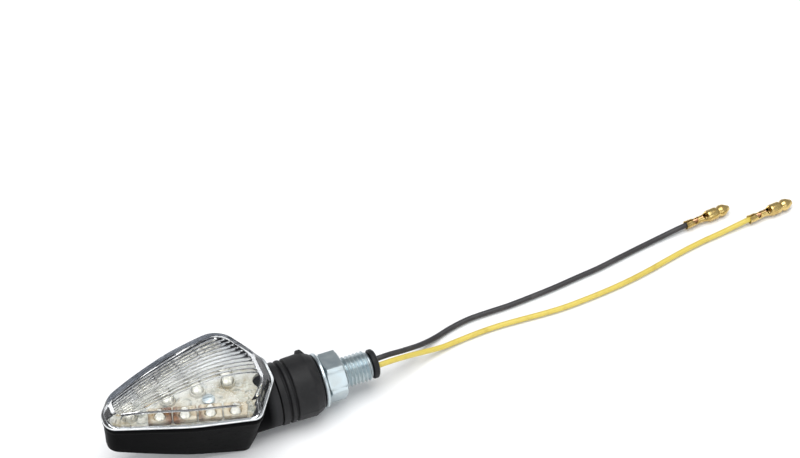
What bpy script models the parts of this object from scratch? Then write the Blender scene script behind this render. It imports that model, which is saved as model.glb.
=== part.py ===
"""LED turn signal indicator for a motorcycle, lying on its back on a table.

+X runs along the stem towards the wires, +Z is up out of the lens, and the origin is the
bottom centre of the indicator without its loose wires.  All lengths are in metres.
"""
import math

import bmesh
import bpy
from mathutils import Matrix

# ---------------------------------------------------------------- driving dimensions
AXIS_Z = 0.0102            # height of the stem's axis above the table
GAP = 0.0003               # clearance kept between touching pieces

# head, seen from above: corners of one half as (x, y, fillet radius)
TIP_X = -0.0445
REAR_X = 0.0086
HALF_OUTLINE = (
    (TIP_X, 0.0037, 0.0042),
    (-0.0200, 0.0126, 0.0600),
    (-0.0003, 0.0172, 0.0030),
    (REAR_X, 0.0040, 0.0045),
)
FILLET_STEPS = 4

# housing
RIM_Z = 0.0223             # top edge of the housing
LIP_Z = 0.0203             # underside of the lip that carries the lens
LIP_INSET = 0.0003         # how far the lip stands out from the hull below it
HOUSING_WALL = 0.0018
BOTTOM_WIDTH = 0.57        # width at the table as a share of the width under the lip
BOTTOM_REAR_INSET = 0.0040
HEEL_X = -0.0040           # the flat heel lies behind this, the keel rises in front of it
KEEL_ANGLE = math.radians(16.0)
KEEL_ROUNDING = 0.0034
COLLAR_RADIUS = 0.0097     # round neck that the rubber stem butts against
COLLAR_START = -0.0010
COLLAR_END = 0.0093
COLLAR_BORE = 0.0086
COLLAR_WALL = 0.0020
NECK_HOLE = 0.0068

# lens
SEAL_THICKNESS = 0.0005
SEAL_WIDTH = 0.0014
LENS_Z = RIM_Z + 2 * GAP + SEAL_THICKNESS
LENS_WALL = 0.0015
CREASE_Z = 0.0303           # highest point of the crease, which sinks to both ends
CREASE_PEAK_X = -0.0200
CREASE_SINK = 210.0        # metres of sinking per cubic metre along the crease
DOME_Z = 0.0323
DOME_CENTRE_X = -0.0140

# lamp insides
BOARD_Z = 0.0164
BOARD_THICKNESS = 0.0016
BOARD_REAR_INSET = 0.0104
REFLECTOR_Z = 0.0208
REFLECTOR_THICKNESS = 0.0012
NOTCH_SPOT = (0.0054, -0.0030)     # opening in the reflector's rear edge for the leads
NOTCH_RADIUS = 0.0034
LED_RADIUS = 0.0016
LED_FLANGE_RADIUS = 0.0019
LED_FLANGE_HEIGHT = 0.0009
LED_BODY_HEIGHT = 0.0051
SIDE_LED_SPOTS = ((-0.0280, 0.0047), (-0.0208, 0.0068), (-0.0135, 0.0089), (-0.0063, 0.0110))
MIDDLE_LED_X = (-0.0360, -0.0240, -0.0145, -0.0050)
SCREW_SPOT = (-0.0125, -0.0044)
POST_SPOTS = ((-0.0320, 0.0), (-0.0166, 0.0052), SCREW_SPOT)
LEG_SPOTS = ((-0.0305, 0.0), (-0.0095, 0.0045))
RAIL_WIDTH = 0.0042        # raised rail on the reflector round each side row of diodes
RAIL_OVERHANG = 0.0024
RAIL_TOP_Z = 0.0240
POST_RADIUS = 0.0022
SCREW_RADIUS = 0.0011
SCREW_HOLE = 0.0014
SCREW_HEAD_RADIUS = 0.0020
SCREW_HEAD_HEIGHT = 0.0014
SCREW_TIP_Z = 0.0105

# rubber stem
STEM_RADIUS = 0.0102
STEM_FRONT_RADIUS = 0.0099
STEM_START = COLLAR_END + GAP
STEM_END = 0.0237
STEM_RIM_X = 0.0206        # the end chamfer starts here
STEM_END_RADIUS = 0.0087
GROOVES_X = (0.0121, 0.0142)
GROOVE_DEPTH = 0.0008
GROOVE_WIDTH = 0.0009
STEM_BORE = 0.0032
NUB_ANGLE = math.radians(40)

# threaded stud, M10 x 1.25, hollow
THREAD_RADIUS = 0.00492
THREAD_ROOT = 0.00415
THREAD_PITCH = 0.00125
THREAD_START = STEM_END + GAP
THREAD_END = 0.0414
STUD_BORE = 0.0030
SHANK_RADIUS = 0.0046
STUD_FLANGE_RADIUS = 0.0082
STUD_FLANGE_X = (0.0156, 0.0173)

# fasteners on the stud
WASHER_RADIUS = 0.0088
WASHER_BORE = 0.00525
WASHER_THICKNESS = 0.0013
WASHER_X = STEM_END + GAP
NUT_X = WASHER_X + WASHER_THICKNESS + GAP
NUT_FLATS = 0.0140
NUT_THICKNESS = 0.0063
NUT_BORE = 0.00503
NUT_TURN = math.radians(50.4)

# wires and what is on them
WIRE_RADIUS = 0.0009
WIRE_OFFSET = 0.00135      # each wire's distance from the stem's axis in the grommet
WIRE_HOLE = 0.00115
GROMMET_RADIUS = 0.0047
GROMMET_END = 0.0439
GROMMET_PLUG_RADIUS = 0.0027
GROMMET_PLUG_START = 0.0392
WIRE_SPLIT_X = 0.0431      # the wires' inner and outer stretches meet in the grommet
BULLET_RADIUS = 0.0020
WIRE_SPACING = 0.0042      # distance between the points of a wire's tube

BLACK_ROUTE = (
    (WIRE_SPLIT_X + GAP, WIRE_OFFSET, AXIS_Z), (0.0455, 0.00145, 0.0102), (0.0490, 0.0020, 0.0096),
    (0.0550, 0.0040, 0.0068), (0.0620, 0.0071, 0.0030), (0.0680, 0.0094, 0.0013),
    (0.0740, 0.0114, 0.0010), (0.0808, 0.0127, 0.0010), (0.0880, 0.0130, 0.0010),
    (0.0950, 0.0131, 0.0010), (0.1030, 0.0137, 0.0010), (0.1115, 0.0145, 0.0010),
    (0.1205, 0.0157, 0.0010), (0.1290, 0.0168, 0.0010), (0.1370, 0.0183, 0.0010),
    (0.1450, 0.0198, 0.0010), (0.1530, 0.0211, 0.0012), (0.1590, 0.0218, 0.0017),
    (0.1628, 0.0222, 0.0020), (0.1655, 0.0225, 0.0020),
)
YELLOW_ROUTE = (
    (WIRE_SPLIT_X + GAP, -WIRE_OFFSET, AXIS_Z), (0.0455, -0.00125, 0.0102), (0.0490, -0.0007, 0.0096),
    (0.0550, 0.0012, 0.0070), (0.0610, 0.0030, 0.0042), (0.0680, 0.0044, 0.0019),
    (0.0750, 0.0056, 0.0011), (0.0830, 0.0063, 0.0010), (0.0900, 0.0064, 0.0010),
    (0.0970, 0.0061, 0.0010), (0.1045, 0.0057, 0.0010), (0.1120, 0.0056, 0.0010),
    (0.1210, 0.0062, 0.0010), (0.1290, 0.0070, 0.0010), (0.1365, 0.0081, 0.0010),
    (0.1445, 0.0097, 0.0010), (0.1520, 0.0115, 0.0010), (0.1590, 0.0131, 0.0010),
    (0.1665, 0.0145, 0.0010), (0.1745, 0.0155, 0.0012), (0.1800, 0.0161, 0.0017),
    (0.1836, 0.0165, 0.0020), (0.1863, 0.0168, 0.0020),
)
INNER_ROUTE = (           # for the wire on the +Y side, from the grommet to the board
    (WIRE_SPLIT_X, WIRE_OFFSET, AXIS_Z), (0.0300, WIRE_OFFSET, AXIS_Z), (0.0150, WIRE_OFFSET, AXIS_Z),
    (0.0060, WIRE_OFFSET, AXIS_Z), (0.0010, 0.0016, 0.0103), (-0.0030, 0.0022, 0.0113),
    (-0.0055, 0.0027, 0.0134), (-0.0062, 0.0029, BOARD_Z - GAP),
)

# ---------------------------------------------------------------- scene and materials
for old in list(bpy.data.objects):
    bpy.data.objects.remove(old, do_unlink=True)
parts = bpy.data.collections.new("turn_signal_indicator")
cutters = bpy.data.collections.new("cutters")
for collection in (parts, cutters):
    bpy.context.scene.collection.children.link(collection)

COLOURS = {               # base colour, roughness, metallic
    "black_plastic": ((0.02, 0.02, 0.022), 0.45, 0.0),
    "clear_lens": ((0.85, 0.87, 0.88), 0.08, 0.0),
    "seal": ((0.80, 0.80, 0.78), 0.50, 0.0),
    "reflector": ((0.78, 0.74, 0.62), 0.30, 0.0),
    "board": ((0.82, 0.80, 0.70), 0.50, 0.0),
    "led": ((0.88, 0.82, 0.62), 0.12, 0.0),
    "resistor": ((0.70, 0.45, 0.20), 0.45, 0.0),
    "diode": ((0.03, 0.03, 0.03), 0.40, 0.0),
    "rubber": ((0.025, 0.025, 0.027), 0.65, 0.0),
    "zinc": ((0.72, 0.78, 0.80), 0.28, 1.0),
    "brass": ((0.80, 0.58, 0.25), 0.25, 1.0),
    "black_wire": ((0.06, 0.055, 0.06), 0.45, 0.0),
    "yellow_wire": ((0.90, 0.72, 0.08), 0.40, 0.0),
}


def make_material(name):
    """A Principled material with the colour, roughness and metallic value listed for it."""
    colour, roughness, metallic = COLOURS[name]
    material = bpy.data.materials.new(name)
    material.use_nodes = True
    shader = material.node_tree.nodes["Principled BSDF"]
    shader.inputs["Base Color"].default_value = (*colour, 1.0)
    shader.inputs["Roughness"].default_value = roughness
    shader.inputs["Metallic"].default_value = metallic
    return material


MATERIALS = {name: make_material(name) for name in COLOURS}


# ---------------------------------------------------------------- modelling helpers
def add_object(name, data, material=None):
    """Link a new object: a part where it has a material, otherwise a hidden cutter."""
    piece = bpy.data.objects.new(name, data)
    if material:
        parts.objects.link(piece)
        data.materials.append(MATERIALS[material])
    else:
        cutters.objects.link(piece)
        piece.hide_render = True
        piece.display_type = "WIRE"
    return piece


def mesh_object(name, bm, material=None):
    """Turn a bmesh into an object with outward faces and smooth round sides."""
    bmesh.ops.recalc_face_normals(bm, faces=bm.faces)
    mesh = bpy.data.meshes.new(name)
    bm.to_mesh(mesh)
    bm.free()
    mesh.shade_smooth()
    mesh.set_sharp_from_angle(angle=math.radians(35))
    return add_object(name, mesh, material)


def turned(name, profile, material=None, steps=32, along="X", centre=(0.0, 0.0, AXIS_Z), closed=True):
    """Turn (position, radius) points about a line through centre, along X or Z.

    The profile runs down its outer side from the far end.  A closed one is a ring round a
    bore, and an open one starts and ends on the axis.
    """
    mesh = bpy.data.meshes.new(name)
    points = [(radius, 0.0, position) for position, radius in profile]
    edges = [(i, i + 1) for i in range(len(points) - 1)]
    if closed:
        edges.append((len(points) - 1, 0))
    mesh.from_pydata(points, edges, [])
    piece = add_object(name, mesh, material)
    if along == "X":
        piece.rotation_euler = (0.0, math.radians(90), 0.0)
    piece.location = centre
    screw = piece.modifiers.new("turn", "SCREW")
    screw.steps = screw.render_steps = steps
    screw.merge_threshold = 0.00001
    screw.use_merge_vertices = True
    screw.use_smooth_shade = True
    return piece


def cylinder(name, radius, start, end, material=None, segments=32, along="X", centre=(0.0, 0.0, AXIS_Z)):
    """A closed cylinder between two positions on a line through centre."""
    bm = bmesh.new()
    bmesh.ops.create_cone(bm, cap_ends=True, segments=segments, radius1=radius, radius2=radius,
                          depth=end - start)
    piece = mesh_object(name, bm, material)
    middle = (start + end) / 2
    if along == "X":
        piece.rotation_euler = (0.0, math.radians(90), 0.0)
        piece.location = (centre[0] + middle, centre[1], centre[2])
    else:
        piece.location = (centre[0], centre[1], centre[2] + middle)
    return piece


def boolean(piece, other, operation="DIFFERENCE"):
    """Cut, join or intersect a piece with another object."""
    modifier = piece.modifiers.new(other.name, "BOOLEAN")
    modifier.operation = operation
    modifier.object = other


def offset_corners(tip, side, rear, back):
    """The half outline with its tip, side, slanted rear and straight back edges moved inwards."""
    corners = [(x, y) for x, y, _ in HALF_OUTLINE]
    line = [((TIP_X, 0.0), (TIP_X, 1.0), tip)]
    for i, inset in enumerate((side, side, rear)):
        line.append((corners[i], corners[i + 1], inset))
    line.append(((REAR_X, 1.0), (REAR_X, 0.0), back))
    moved = []
    for (ax, ay), (bx, by), inset in line:
        length = math.hypot(bx - ax, by - ay)
        ux, uy = (bx - ax) / length, (by - ay) / length
        moved.append((ax + uy * inset, ay - ux * inset, ux, uy))
    points = []
    for (px, py, ux, uy), (qx, qy, vx, vy) in zip(moved, moved[1:]):
        t = ((qx - px) * vy - (qy - py) * vx) / (ux * vy - uy * vx)
        points.append((px + ux * t, py + uy * t))
    return points


def outline(tip=0.0, side=0.0, rear=0.0, back=0.0, soften=0.0):
    """Points round the head's outline, anticlockwise, with its rear corners softened if asked."""
    half = [(x, y, max(r - side, 0.0006))
            for (x, y), (_, _, r) in zip(offset_corners(tip, side, rear, back), HALF_OUTLINE)]
    x, y, r = half[2]
    half[2] = (x, y, r + soften)
    x, y, r = half[3]
    half[3] = (x, y, r + soften)
    corners = [(x, -y, r) for x, y, r in half] + [(x, y, r) for x, y, r in reversed(half)]
    points = []
    for i, (x, y, r) in enumerate(corners):
        before, after = corners[i - 1], corners[(i + 1) % len(corners)]
        a = math.atan2(before[1] - y, before[0] - x)
        b = math.atan2(after[1] - y, after[0] - x)
        half_angle = abs(math.remainder(b - a, math.tau)) / 2
        middle = a + math.remainder(b - a, math.tau) / 2
        distance = r / math.sin(half_angle)
        cx, cy = x + distance * math.cos(middle), y + distance * math.sin(middle)
        sweep = math.pi - 2 * half_angle
        start = middle + math.pi - sweep / 2
        for step in range(FILLET_STEPS + 1):
            angle = start + sweep * step / FILLET_STEPS
            points.append((cx + r * math.cos(angle), cy + r * math.sin(angle)))
    return points


def loft(rings):
    """A bmesh through rings of the same number of points, with both ends closed."""
    bm = bmesh.new()
    rows = [[bm.verts.new(point) for point in ring] for ring in rings]
    count = len(rows[0])
    for low, high in zip(rows, rows[1:]):
        for i in range(count):
            j = (i + 1) % count
            bm.faces.new((low[i], low[j], high[j], high[i]))
    bm.faces.new(list(reversed(rows[0])))
    bm.faces.new(rows[-1])
    bmesh.ops.recalc_face_normals(bm, faces=bm.faces)
    return bm


def plate(name, points, low, high, material=None):
    """A flat plate of the given outline between two heights."""
    return mesh_object(name, loft([[(x, y, z) for x, y in points] for z in (low, high)]), material)


def keel_z(x):
    """Height of the housing's underside at x."""
    return max(0.0, (HEEL_X - x) * math.tan(KEEL_ANGLE))


def smooth_route(route, spacing):
    """Evenly spaced points on a smooth curve through a route's points."""
    dense = []
    ends = [route[0]] + list(route) + [route[-1]]
    for i in range(len(route) - 1):
        p0, p1, p2, p3 = ends[i:i + 4]
        for step in range(12):
            t = step / 12
            dense.append(tuple(
                0.5 * (2 * b + (c - a) * t + (2 * a - 5 * b + 4 * c - d) * t * t
                       + (3 * b - a - 3 * c + d) * t ** 3)
                for a, b, c, d in zip(p0, p1, p2, p3)))
    dense.append(route[-1])
    travelled = [0.0]
    for a, b in zip(dense, dense[1:]):
        travelled.append(travelled[-1] + math.dist(a, b))
    count = max(2, round(travelled[-1] / spacing))
    points, k = [], 0
    for i in range(count + 1):
        target = travelled[-1] * i / count
        while k < len(dense) - 2 and travelled[k + 1] < target:
            k += 1
        share = (target - travelled[k]) / (travelled[k + 1] - travelled[k])
        points.append(tuple(a + (b - a) * share for a, b in zip(dense[k], dense[k + 1])))
    return points


def wire(name, route, material):
    """A round wire along a smooth curve through the route's points."""
    points = smooth_route(route, WIRE_SPACING)
    curve = bpy.data.curves.new(name, "CURVE")
    curve.dimensions = "3D"
    curve.bevel_depth = WIRE_RADIUS
    curve.bevel_resolution = 2
    curve.use_fill_caps = True
    spline = curve.splines.new("POLY")
    spline.points.add(len(points) - 1)
    for control, point in zip(spline.points, points):
        control.co = (*point, 1.0)
    return add_object(name, curve, material)


# ---------------------------------------------------------------- housing
def hull_ring(z, inset):
    """The hull's outline at a height, drawn in from under the lip down to the table."""
    share = 1 - z / LIP_Z
    width = 1 - share * (1 - BOTTOM_WIDTH)
    reach = inset + LIP_INSET
    ring = []
    for x, y in outline(reach, reach, reach, reach):
        along = (x - TIP_X) / (REAR_X - TIP_X)
        ring.append((x - share * BOTTOM_REAR_INSET * along ** 3, y * width, z))
    return ring


def hull_body(name, rings, keel_x, rounding=0.0, material=None):
    """A boat-shaped body through rings, cut off below by the sloping keel."""
    bm = loft(rings)
    normal = (-math.sin(KEEL_ANGLE), 0.0, -math.cos(KEEL_ANGLE))
    cut = bmesh.ops.bisect_plane(bm, geom=bm.verts[:] + bm.edges[:] + bm.faces[:], dist=1e-7,
                                 plane_co=(keel_x, 0.0, rings[0][0][2]), plane_no=normal,
                                 clear_outer=True)
    rim = [edge for edge in cut["geom_cut"] if isinstance(edge, bmesh.types.BMEdge)]
    bmesh.ops.contextual_create(bm, geom=rim)
    bmesh.ops.recalc_face_normals(bm, faces=bm.faces)
    bm.normal_update()
    if rounding:
        under = [edge for edge in bm.edges if len(edge.link_faces) == 2
                 and sum(face.normal.z < -0.9 for face in edge.link_faces) == 1
                 and edge.verts[0].co.z < LIP_Z - 0.001]
        bmesh.ops.bevel(bm, geom=under, offset=rounding, segments=3, profile=0.5, affect="EDGES",
                        clamp_overlap=True)
    bmesh.ops.triangulate(bm, faces=bm.faces)
    return mesh_object(name, bm, material)


def make_housing():
    """Boat-shaped shell with a flat heel, a neck for the stem and posts for the board."""
    outside = [hull_ring(0.0, 0.0), hull_ring(LIP_Z, 0.0)]
    outside += [[(x, y, z) for x, y in outline()] for z in (LIP_Z + 0.0003, RIM_Z)]
    housing = hull_body("housing", outside, HEEL_X, KEEL_ROUNDING, "black_plastic")
    inside = [hull_ring(z, HOUSING_WALL) for z in (HOUSING_WALL, RIM_Z + 0.001)]
    boolean(housing, hull_body("hull_inside", inside, HEEL_X))

    boolean(housing, cylinder("neck_body", COLLAR_RADIUS, COLLAR_START, COLLAR_END), "UNION")
    for i, (x, y) in enumerate(POST_SPOTS):
        post = cylinder(f"post_{i}", POST_RADIUS, keel_z(x) + HOUSING_WALL / 2, BOARD_Z - GAP,
                        segments=16, along="Z", centre=(x, y, 0.0))
        boolean(housing, post, "UNION")
    boolean(housing, cylinder("neck_bore", COLLAR_BORE, COLLAR_START - 0.001, COLLAR_END - COLLAR_WALL))
    boolean(housing, cylinder("neck_hole", NECK_HOLE, COLLAR_START, COLLAR_END + 0.001))
    screw_hole = cylinder("screw_hole", SCREW_HOLE, SCREW_TIP_Z - 0.0015, BOARD_Z + 0.001, segments=12,
                          along="Z", centre=(*SCREW_SPOT, 0.0))
    boolean(housing, screw_hole)
    return housing


# ---------------------------------------------------------------- lens and seal
def crease_height(x):
    """Height of the lens's crease, which arches along the lens."""
    return CREASE_Z - CREASE_SINK * abs(x - CREASE_PEAK_X) ** 3


LENS_SIDE = (             # share of the height, then insets at tip, side, rear and back, and softening
    (0.15, 0.0001, 0.0000, 0.0002, 0.0003, 0.0000),
    (0.80, 0.0017, 0.0002, 0.0011, 0.0025, 0.0035),
    (1.00, 0.0025, 0.0006, 0.0018, 0.0033, 0.0060),
)


def lens_body(name, inset, base, material=None):
    """Solid in the lens's shape: steep sides up to an arched crease, then a low dome."""
    rings = [[(x, y, base) for x, y in outline(inset, inset, inset, inset)]]
    for share, tip, side, rear, back, soften in LENS_SIDE:
        rings.append([(x, y, LENS_Z + (crease_height(x) - inset - LENS_Z) * share)
                      for x, y in outline(tip + inset, side + inset, rear + inset, back + inset, soften)])
    crease = rings[-1]
    for share in (0.90, 0.66, 0.38):
        rings.append([(DOME_CENTRE_X + (x - DOME_CENTRE_X) * share, y * share,
                       z + (DOME_Z - inset - z) * (1 - share ** 2)) for x, y, z in crease])
    bm = loft(rings)
    bmesh.ops.triangulate(bm, faces=bm.faces)
    return mesh_object(name, bm, material)


def make_lens():
    """Clear shell over the lamp."""
    lens = lens_body("lens", 0.0, LENS_Z, "clear_lens")
    boolean(lens, lens_body("lens_inside", LENS_WALL, LENS_Z - 0.001))
    return lens


def make_seal():
    """Thin ring between the housing's rim and the lens."""
    seal = plate("lens_seal", outline(), RIM_Z + GAP, LENS_Z - GAP, "seal")
    inner = outline(SEAL_WIDTH, SEAL_WIDTH, SEAL_WIDTH, SEAL_WIDTH)
    boolean(seal, plate("seal_inside", inner, RIM_Z, LENS_Z))
    return seal


# ---------------------------------------------------------------- lamp insides
def make_board():
    """Circuit board that fits inside the housing, in front of the neck."""
    points = outline(0.0027, 0.0032, BOARD_REAR_INSET, BOARD_REAR_INSET)
    board = plate("led_board", points, BOARD_Z, BOARD_Z + BOARD_THICKNESS, "board")
    hole = cylinder("board_hole", SCREW_HOLE, BOARD_Z - 0.001, BOARD_Z + BOARD_THICKNESS + 0.001,
                    segments=12, along="Z", centre=(*SCREW_SPOT, 0.0))
    boolean(board, hole)
    return board


def led_spots():
    """Where the light-emitting diodes stand on the board."""
    spots = [(x, 0.0) for x in MIDDLE_LED_X]
    for x, y in SIDE_LED_SPOTS:
        spots += [(x, -y), (x, y)]
    return spots


def rail(side):
    """Straight bar along one side row of diodes, as (x, y) corners."""
    (ax, ay), (bx, by) = SIDE_LED_SPOTS[0], SIDE_LED_SPOTS[-1]
    length = math.dist((ax, ay), (bx, by))
    ux, uy = (bx - ax) / length, (by - ay) / length
    half = RAIL_WIDTH / 2
    corners = []
    for along, across in ((-RAIL_OVERHANG, -half), (length + RAIL_OVERHANG, -half),
                          (length + RAIL_OVERHANG, half), (-RAIL_OVERHANG, half)):
        corners.append((ax + ux * along - uy * across, side * (ay + uy * along + ux * across)))
    return corners


def make_reflector():
    """Plate with a rail along each side row of diodes, on short legs that stand on the board."""
    points = outline(0.0024, 0.0024, 0.0034, 0.0040)
    top = REFLECTOR_Z + REFLECTOR_THICKNESS
    reflector = plate("reflector", points, REFLECTOR_Z, top, "reflector")
    foot = BOARD_Z + BOARD_THICKNESS + GAP
    for i, (x, y) in enumerate(LEG_SPOTS + (SCREW_SPOT,)):
        leg = cylinder(f"leg_{i}", 0.0021, foot, REFLECTOR_Z + REFLECTOR_THICKNESS / 2, segments=16,
                       along="Z", centre=(x, y, 0.0))
        boolean(reflector, leg, "UNION")
    for side in (-1, 1):
        bar = plate(f"rail_{side}", rail(side), REFLECTOR_Z + REFLECTOR_THICKNESS / 2, RAIL_TOP_Z)
        boolean(reflector, bar, "UNION")
    for i, (x, y) in enumerate(led_spots()):
        hole = cylinder(f"led_hole_{i}", LED_RADIUS + GAP, REFLECTOR_Z - 0.001, RAIL_TOP_Z + 0.001, segments=16,
                        along="Z", centre=(x, y, 0.0))
        boolean(reflector, hole)
    boolean(reflector, cylinder("reflector_notch", NOTCH_RADIUS, REFLECTOR_Z - 0.001, top + 0.001, segments=24,
                                along="Z", centre=(*NOTCH_SPOT, 0.0)))
    boolean(reflector, cylinder("reflector_screw_hole", SCREW_HOLE, foot - 0.001, top + 0.001, segments=12,
                                along="Z", centre=(*SCREW_SPOT, 0.0)))
    return reflector


def make_leds():
    """Round diodes with a flange at the foot and a domed top."""
    foot = BOARD_Z + BOARD_THICKNESS + GAP
    body_top = foot + LED_BODY_HEIGHT
    dome = [(body_top + LED_RADIUS * math.cos(a), LED_RADIUS * math.sin(a))
            for a in (math.radians(d) for d in (0, 45, 90))]
    dome[0] = (dome[0][0], 0.0)
    profile = dome + [
        (foot + LED_FLANGE_HEIGHT, LED_RADIUS), (foot + LED_FLANGE_HEIGHT, LED_FLANGE_RADIUS),
        (foot, LED_FLANGE_RADIUS), (foot, 0.0),
    ]
    for i, (x, y) in enumerate(led_spots()):
        turned(f"led_{i + 1:02d}", profile, "led", steps=12, along="Z", centre=(x, y, 0.0), closed=False)


def make_board_screw():
    """Pan-head screw through reflector and board into its post."""
    seat = REFLECTOR_Z + REFLECTOR_THICKNESS + GAP
    head = seat + SCREW_HEAD_HEIGHT
    profile = [
        (head, 0.0), (head - 0.0001, SCREW_HEAD_RADIUS * 0.6), (head - 0.0005, SCREW_HEAD_RADIUS * 0.93),
        (seat, SCREW_HEAD_RADIUS), (seat, SCREW_RADIUS), (SCREW_TIP_Z + 0.001, SCREW_RADIUS),
        (SCREW_TIP_Z, 0.0),
    ]
    screw = turned("board_screw", profile, "zinc", steps=16, along="Z", centre=(*SCREW_SPOT, 0.0), closed=False)
    slot = bmesh.new()
    bmesh.ops.create_cube(slot, size=1.0)
    bmesh.ops.scale(slot, vec=(SCREW_HEAD_RADIUS * 3, 0.0005, 0.0012), verts=slot.verts)
    bmesh.ops.translate(slot, vec=(*SCREW_SPOT, head), verts=slot.verts)
    boolean(screw, mesh_object("screw_slot", slot))
    return screw


def make_board_parts():
    """Series resistors and a diode on the board's underside."""
    for name, x, y, radius, length, material in (
            ("resistor_1", -0.0225, 0.0026, 0.0012, 0.0062, "resistor"),
            ("resistor_2", -0.0225, -0.0026, 0.0012, 0.0062, "resistor"),
            ("polarity_diode", -0.0115, 0.0034, 0.0011, 0.0044, "diode")):
        z = BOARD_Z - GAP - radius
        half = length / 2
        waist = radius * 0.86
        profile = [(half, 0.0), (half, radius * 0.7), (half * 0.9, radius), (half * 0.55, radius),
                   (half * 0.45, waist), (-half * 0.45, waist), (-half * 0.55, radius),
                   (-half * 0.9, radius), (-half, radius * 0.7), (-half, 0.0)]
        turned(name, profile, material, steps=12, centre=(x, y, z), closed=False)


# ---------------------------------------------------------------- stem, stud and fasteners
def make_stem():
    """Rubber stem: clipped into the neck in front, moulded round the stud's flange behind."""
    outer = [(STEM_END, STEM_END_RADIUS), (STEM_END - 0.0010, STEM_END_RADIUS + 0.0006),
             (STEM_RIM_X, STEM_RADIUS)]
    for x in reversed(GROOVES_X):
        outer += [(x + GROOVE_WIDTH / 2, STEM_FRONT_RADIUS + 0.0001), (x, STEM_FRONT_RADIUS - GROOVE_DEPTH),
                  (x - GROOVE_WIDTH / 2, STEM_FRONT_RADIUS + 0.0001)]
    clip_end = COLLAR_END - COLLAR_WALL - GAP
    clip_start = clip_end - 0.0022
    neck = NECK_HOLE - GAP
    outer += [(STEM_START + 0.0004, STEM_FRONT_RADIUS), (STEM_START, STEM_FRONT_RADIUS - 0.0004),
              (STEM_START, neck), (clip_end, neck), (clip_end, COLLAR_BORE - GAP),
              (clip_start, COLLAR_BORE - GAP)]
    inner = [(clip_start, STEM_BORE), (STUD_FLANGE_X[0] - GAP, STEM_BORE),
             (STUD_FLANGE_X[0] - GAP, STUD_FLANGE_RADIUS + GAP),
             (STUD_FLANGE_X[1] + GAP, STUD_FLANGE_RADIUS + GAP),
             (STUD_FLANGE_X[1] + GAP, SHANK_RADIUS + GAP), (STEM_END, SHANK_RADIUS + GAP)]
    stem = turned("rubber_stem", outer + inner, "rubber", steps=32)

    foot = [(-0.0022, 0.0015), (0.0029, 0.0013), (0.0029, -0.0013), (-0.0022, -0.0015)]
    ridge = [(-0.0006, 0.0011), (0.0006, 0.0011), (0.0006, -0.0011), (-0.0006, -0.0011)]
    nub = loft([[(x, y, STEM_RADIUS - 0.0024) for x, y in foot],
                [(x, y, STEM_RADIUS + 0.0009) for x, y in ridge]])
    nub_object = mesh_object("stem_nub", nub)
    nub_object.rotation_euler = (NUB_ANGLE - math.radians(90), 0.0, 0.0)
    nub_object.location = (STEM_RIM_X, 0.0, AXIS_Z)
    boolean(stem, nub_object, "UNION")
    return stem


def make_stud():
    """Hollow stud with a flange inside the rubber and a thread behind it."""
    ridge = []
    turns = int((THREAD_END - THREAD_START - 0.0016) / THREAD_PITCH)
    first = THREAD_END - 0.0008
    for i in range(turns):
        x = first - i * THREAD_PITCH
        ridge += [(x - 0.15 * THREAD_PITCH, THREAD_RADIUS), (x - 0.60 * THREAD_PITCH, THREAD_ROOT)]
    outer = [(THREAD_END, THREAD_ROOT), (first, THREAD_ROOT + 0.0003)] + ridge
    outer += [(THREAD_START, THREAD_ROOT), (THREAD_START - 2 * GAP, SHANK_RADIUS),
              (STUD_FLANGE_X[1], SHANK_RADIUS), (STUD_FLANGE_X[1], STUD_FLANGE_RADIUS),
              (STUD_FLANGE_X[0], STUD_FLANGE_RADIUS)]
    inner = [(STUD_FLANGE_X[0], STUD_BORE), (THREAD_END, STUD_BORE)]
    return turned("threaded_stud", outer + inner, "zinc", steps=22)


def make_washer():
    """Split spring washer."""
    edge = 0.0003
    end = WASHER_X + WASHER_THICKNESS
    profile = [(end, WASHER_RADIUS - edge), (end - edge, WASHER_RADIUS), (WASHER_X + edge, WASHER_RADIUS),
               (WASHER_X, WASHER_RADIUS - edge), (WASHER_X, WASHER_BORE), (end, WASHER_BORE)]
    washer = turned("lock_washer", profile, "zinc", steps=32)
    slit = bmesh.new()
    bmesh.ops.create_cube(slit, size=1.0)
    bmesh.ops.scale(slit, vec=(0.0080, 0.0010, 0.0080), verts=slit.verts)
    slit_object = mesh_object("washer_slit", slit)
    slit_object.rotation_euler = (0.0, 0.0, math.radians(25))
    slit_object.location = (WASHER_X + WASHER_THICKNESS / 2, 0.0, AXIS_Z - WASHER_RADIUS)
    boolean(washer, slit_object)
    return washer


def make_nut():
    """Hexagon nut with chamfered corners."""
    corner = NUT_FLATS / 2 / math.cos(math.radians(30))
    bm = bmesh.new()
    bmesh.ops.create_cone(bm, cap_ends=True, segments=6, radius1=corner, radius2=corner,
                          depth=NUT_THICKNESS)
    bmesh.ops.rotate(bm, matrix=turn_matrix(), verts=bm.verts)
    bmesh.ops.translate(bm, vec=(NUT_X + NUT_THICKNESS / 2, 0.0, AXIS_Z), verts=bm.verts)
    nut = mesh_object("hex_nut", bm, "zinc")
    face = NUT_FLATS / 2 - 0.0001
    end = NUT_X + NUT_THICKNESS
    barrel = [(end, face), (end - 0.0008, corner + 0.0001), (NUT_X + 0.0008, corner + 0.0001), (NUT_X, face)]
    barrel = [(end, 0.0)] + barrel + [(NUT_X, 0.0)]
    boolean(nut, turned("nut_barrel", barrel, steps=36, closed=False), "INTERSECT")
    boolean(nut, cylinder("nut_bore", NUT_BORE, NUT_X - 0.001, end + 0.001))
    return nut


def turn_matrix():
    """Rotation that lays a Z cylinder along X with one corner at the nut's angle."""
    lay = Matrix.Rotation(math.radians(90), 3, "Y")
    spin = Matrix.Rotation(NUT_TURN, 3, "X")
    start = Matrix.Rotation(-math.radians(90), 3, "X")
    return spin @ start @ lay


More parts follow.
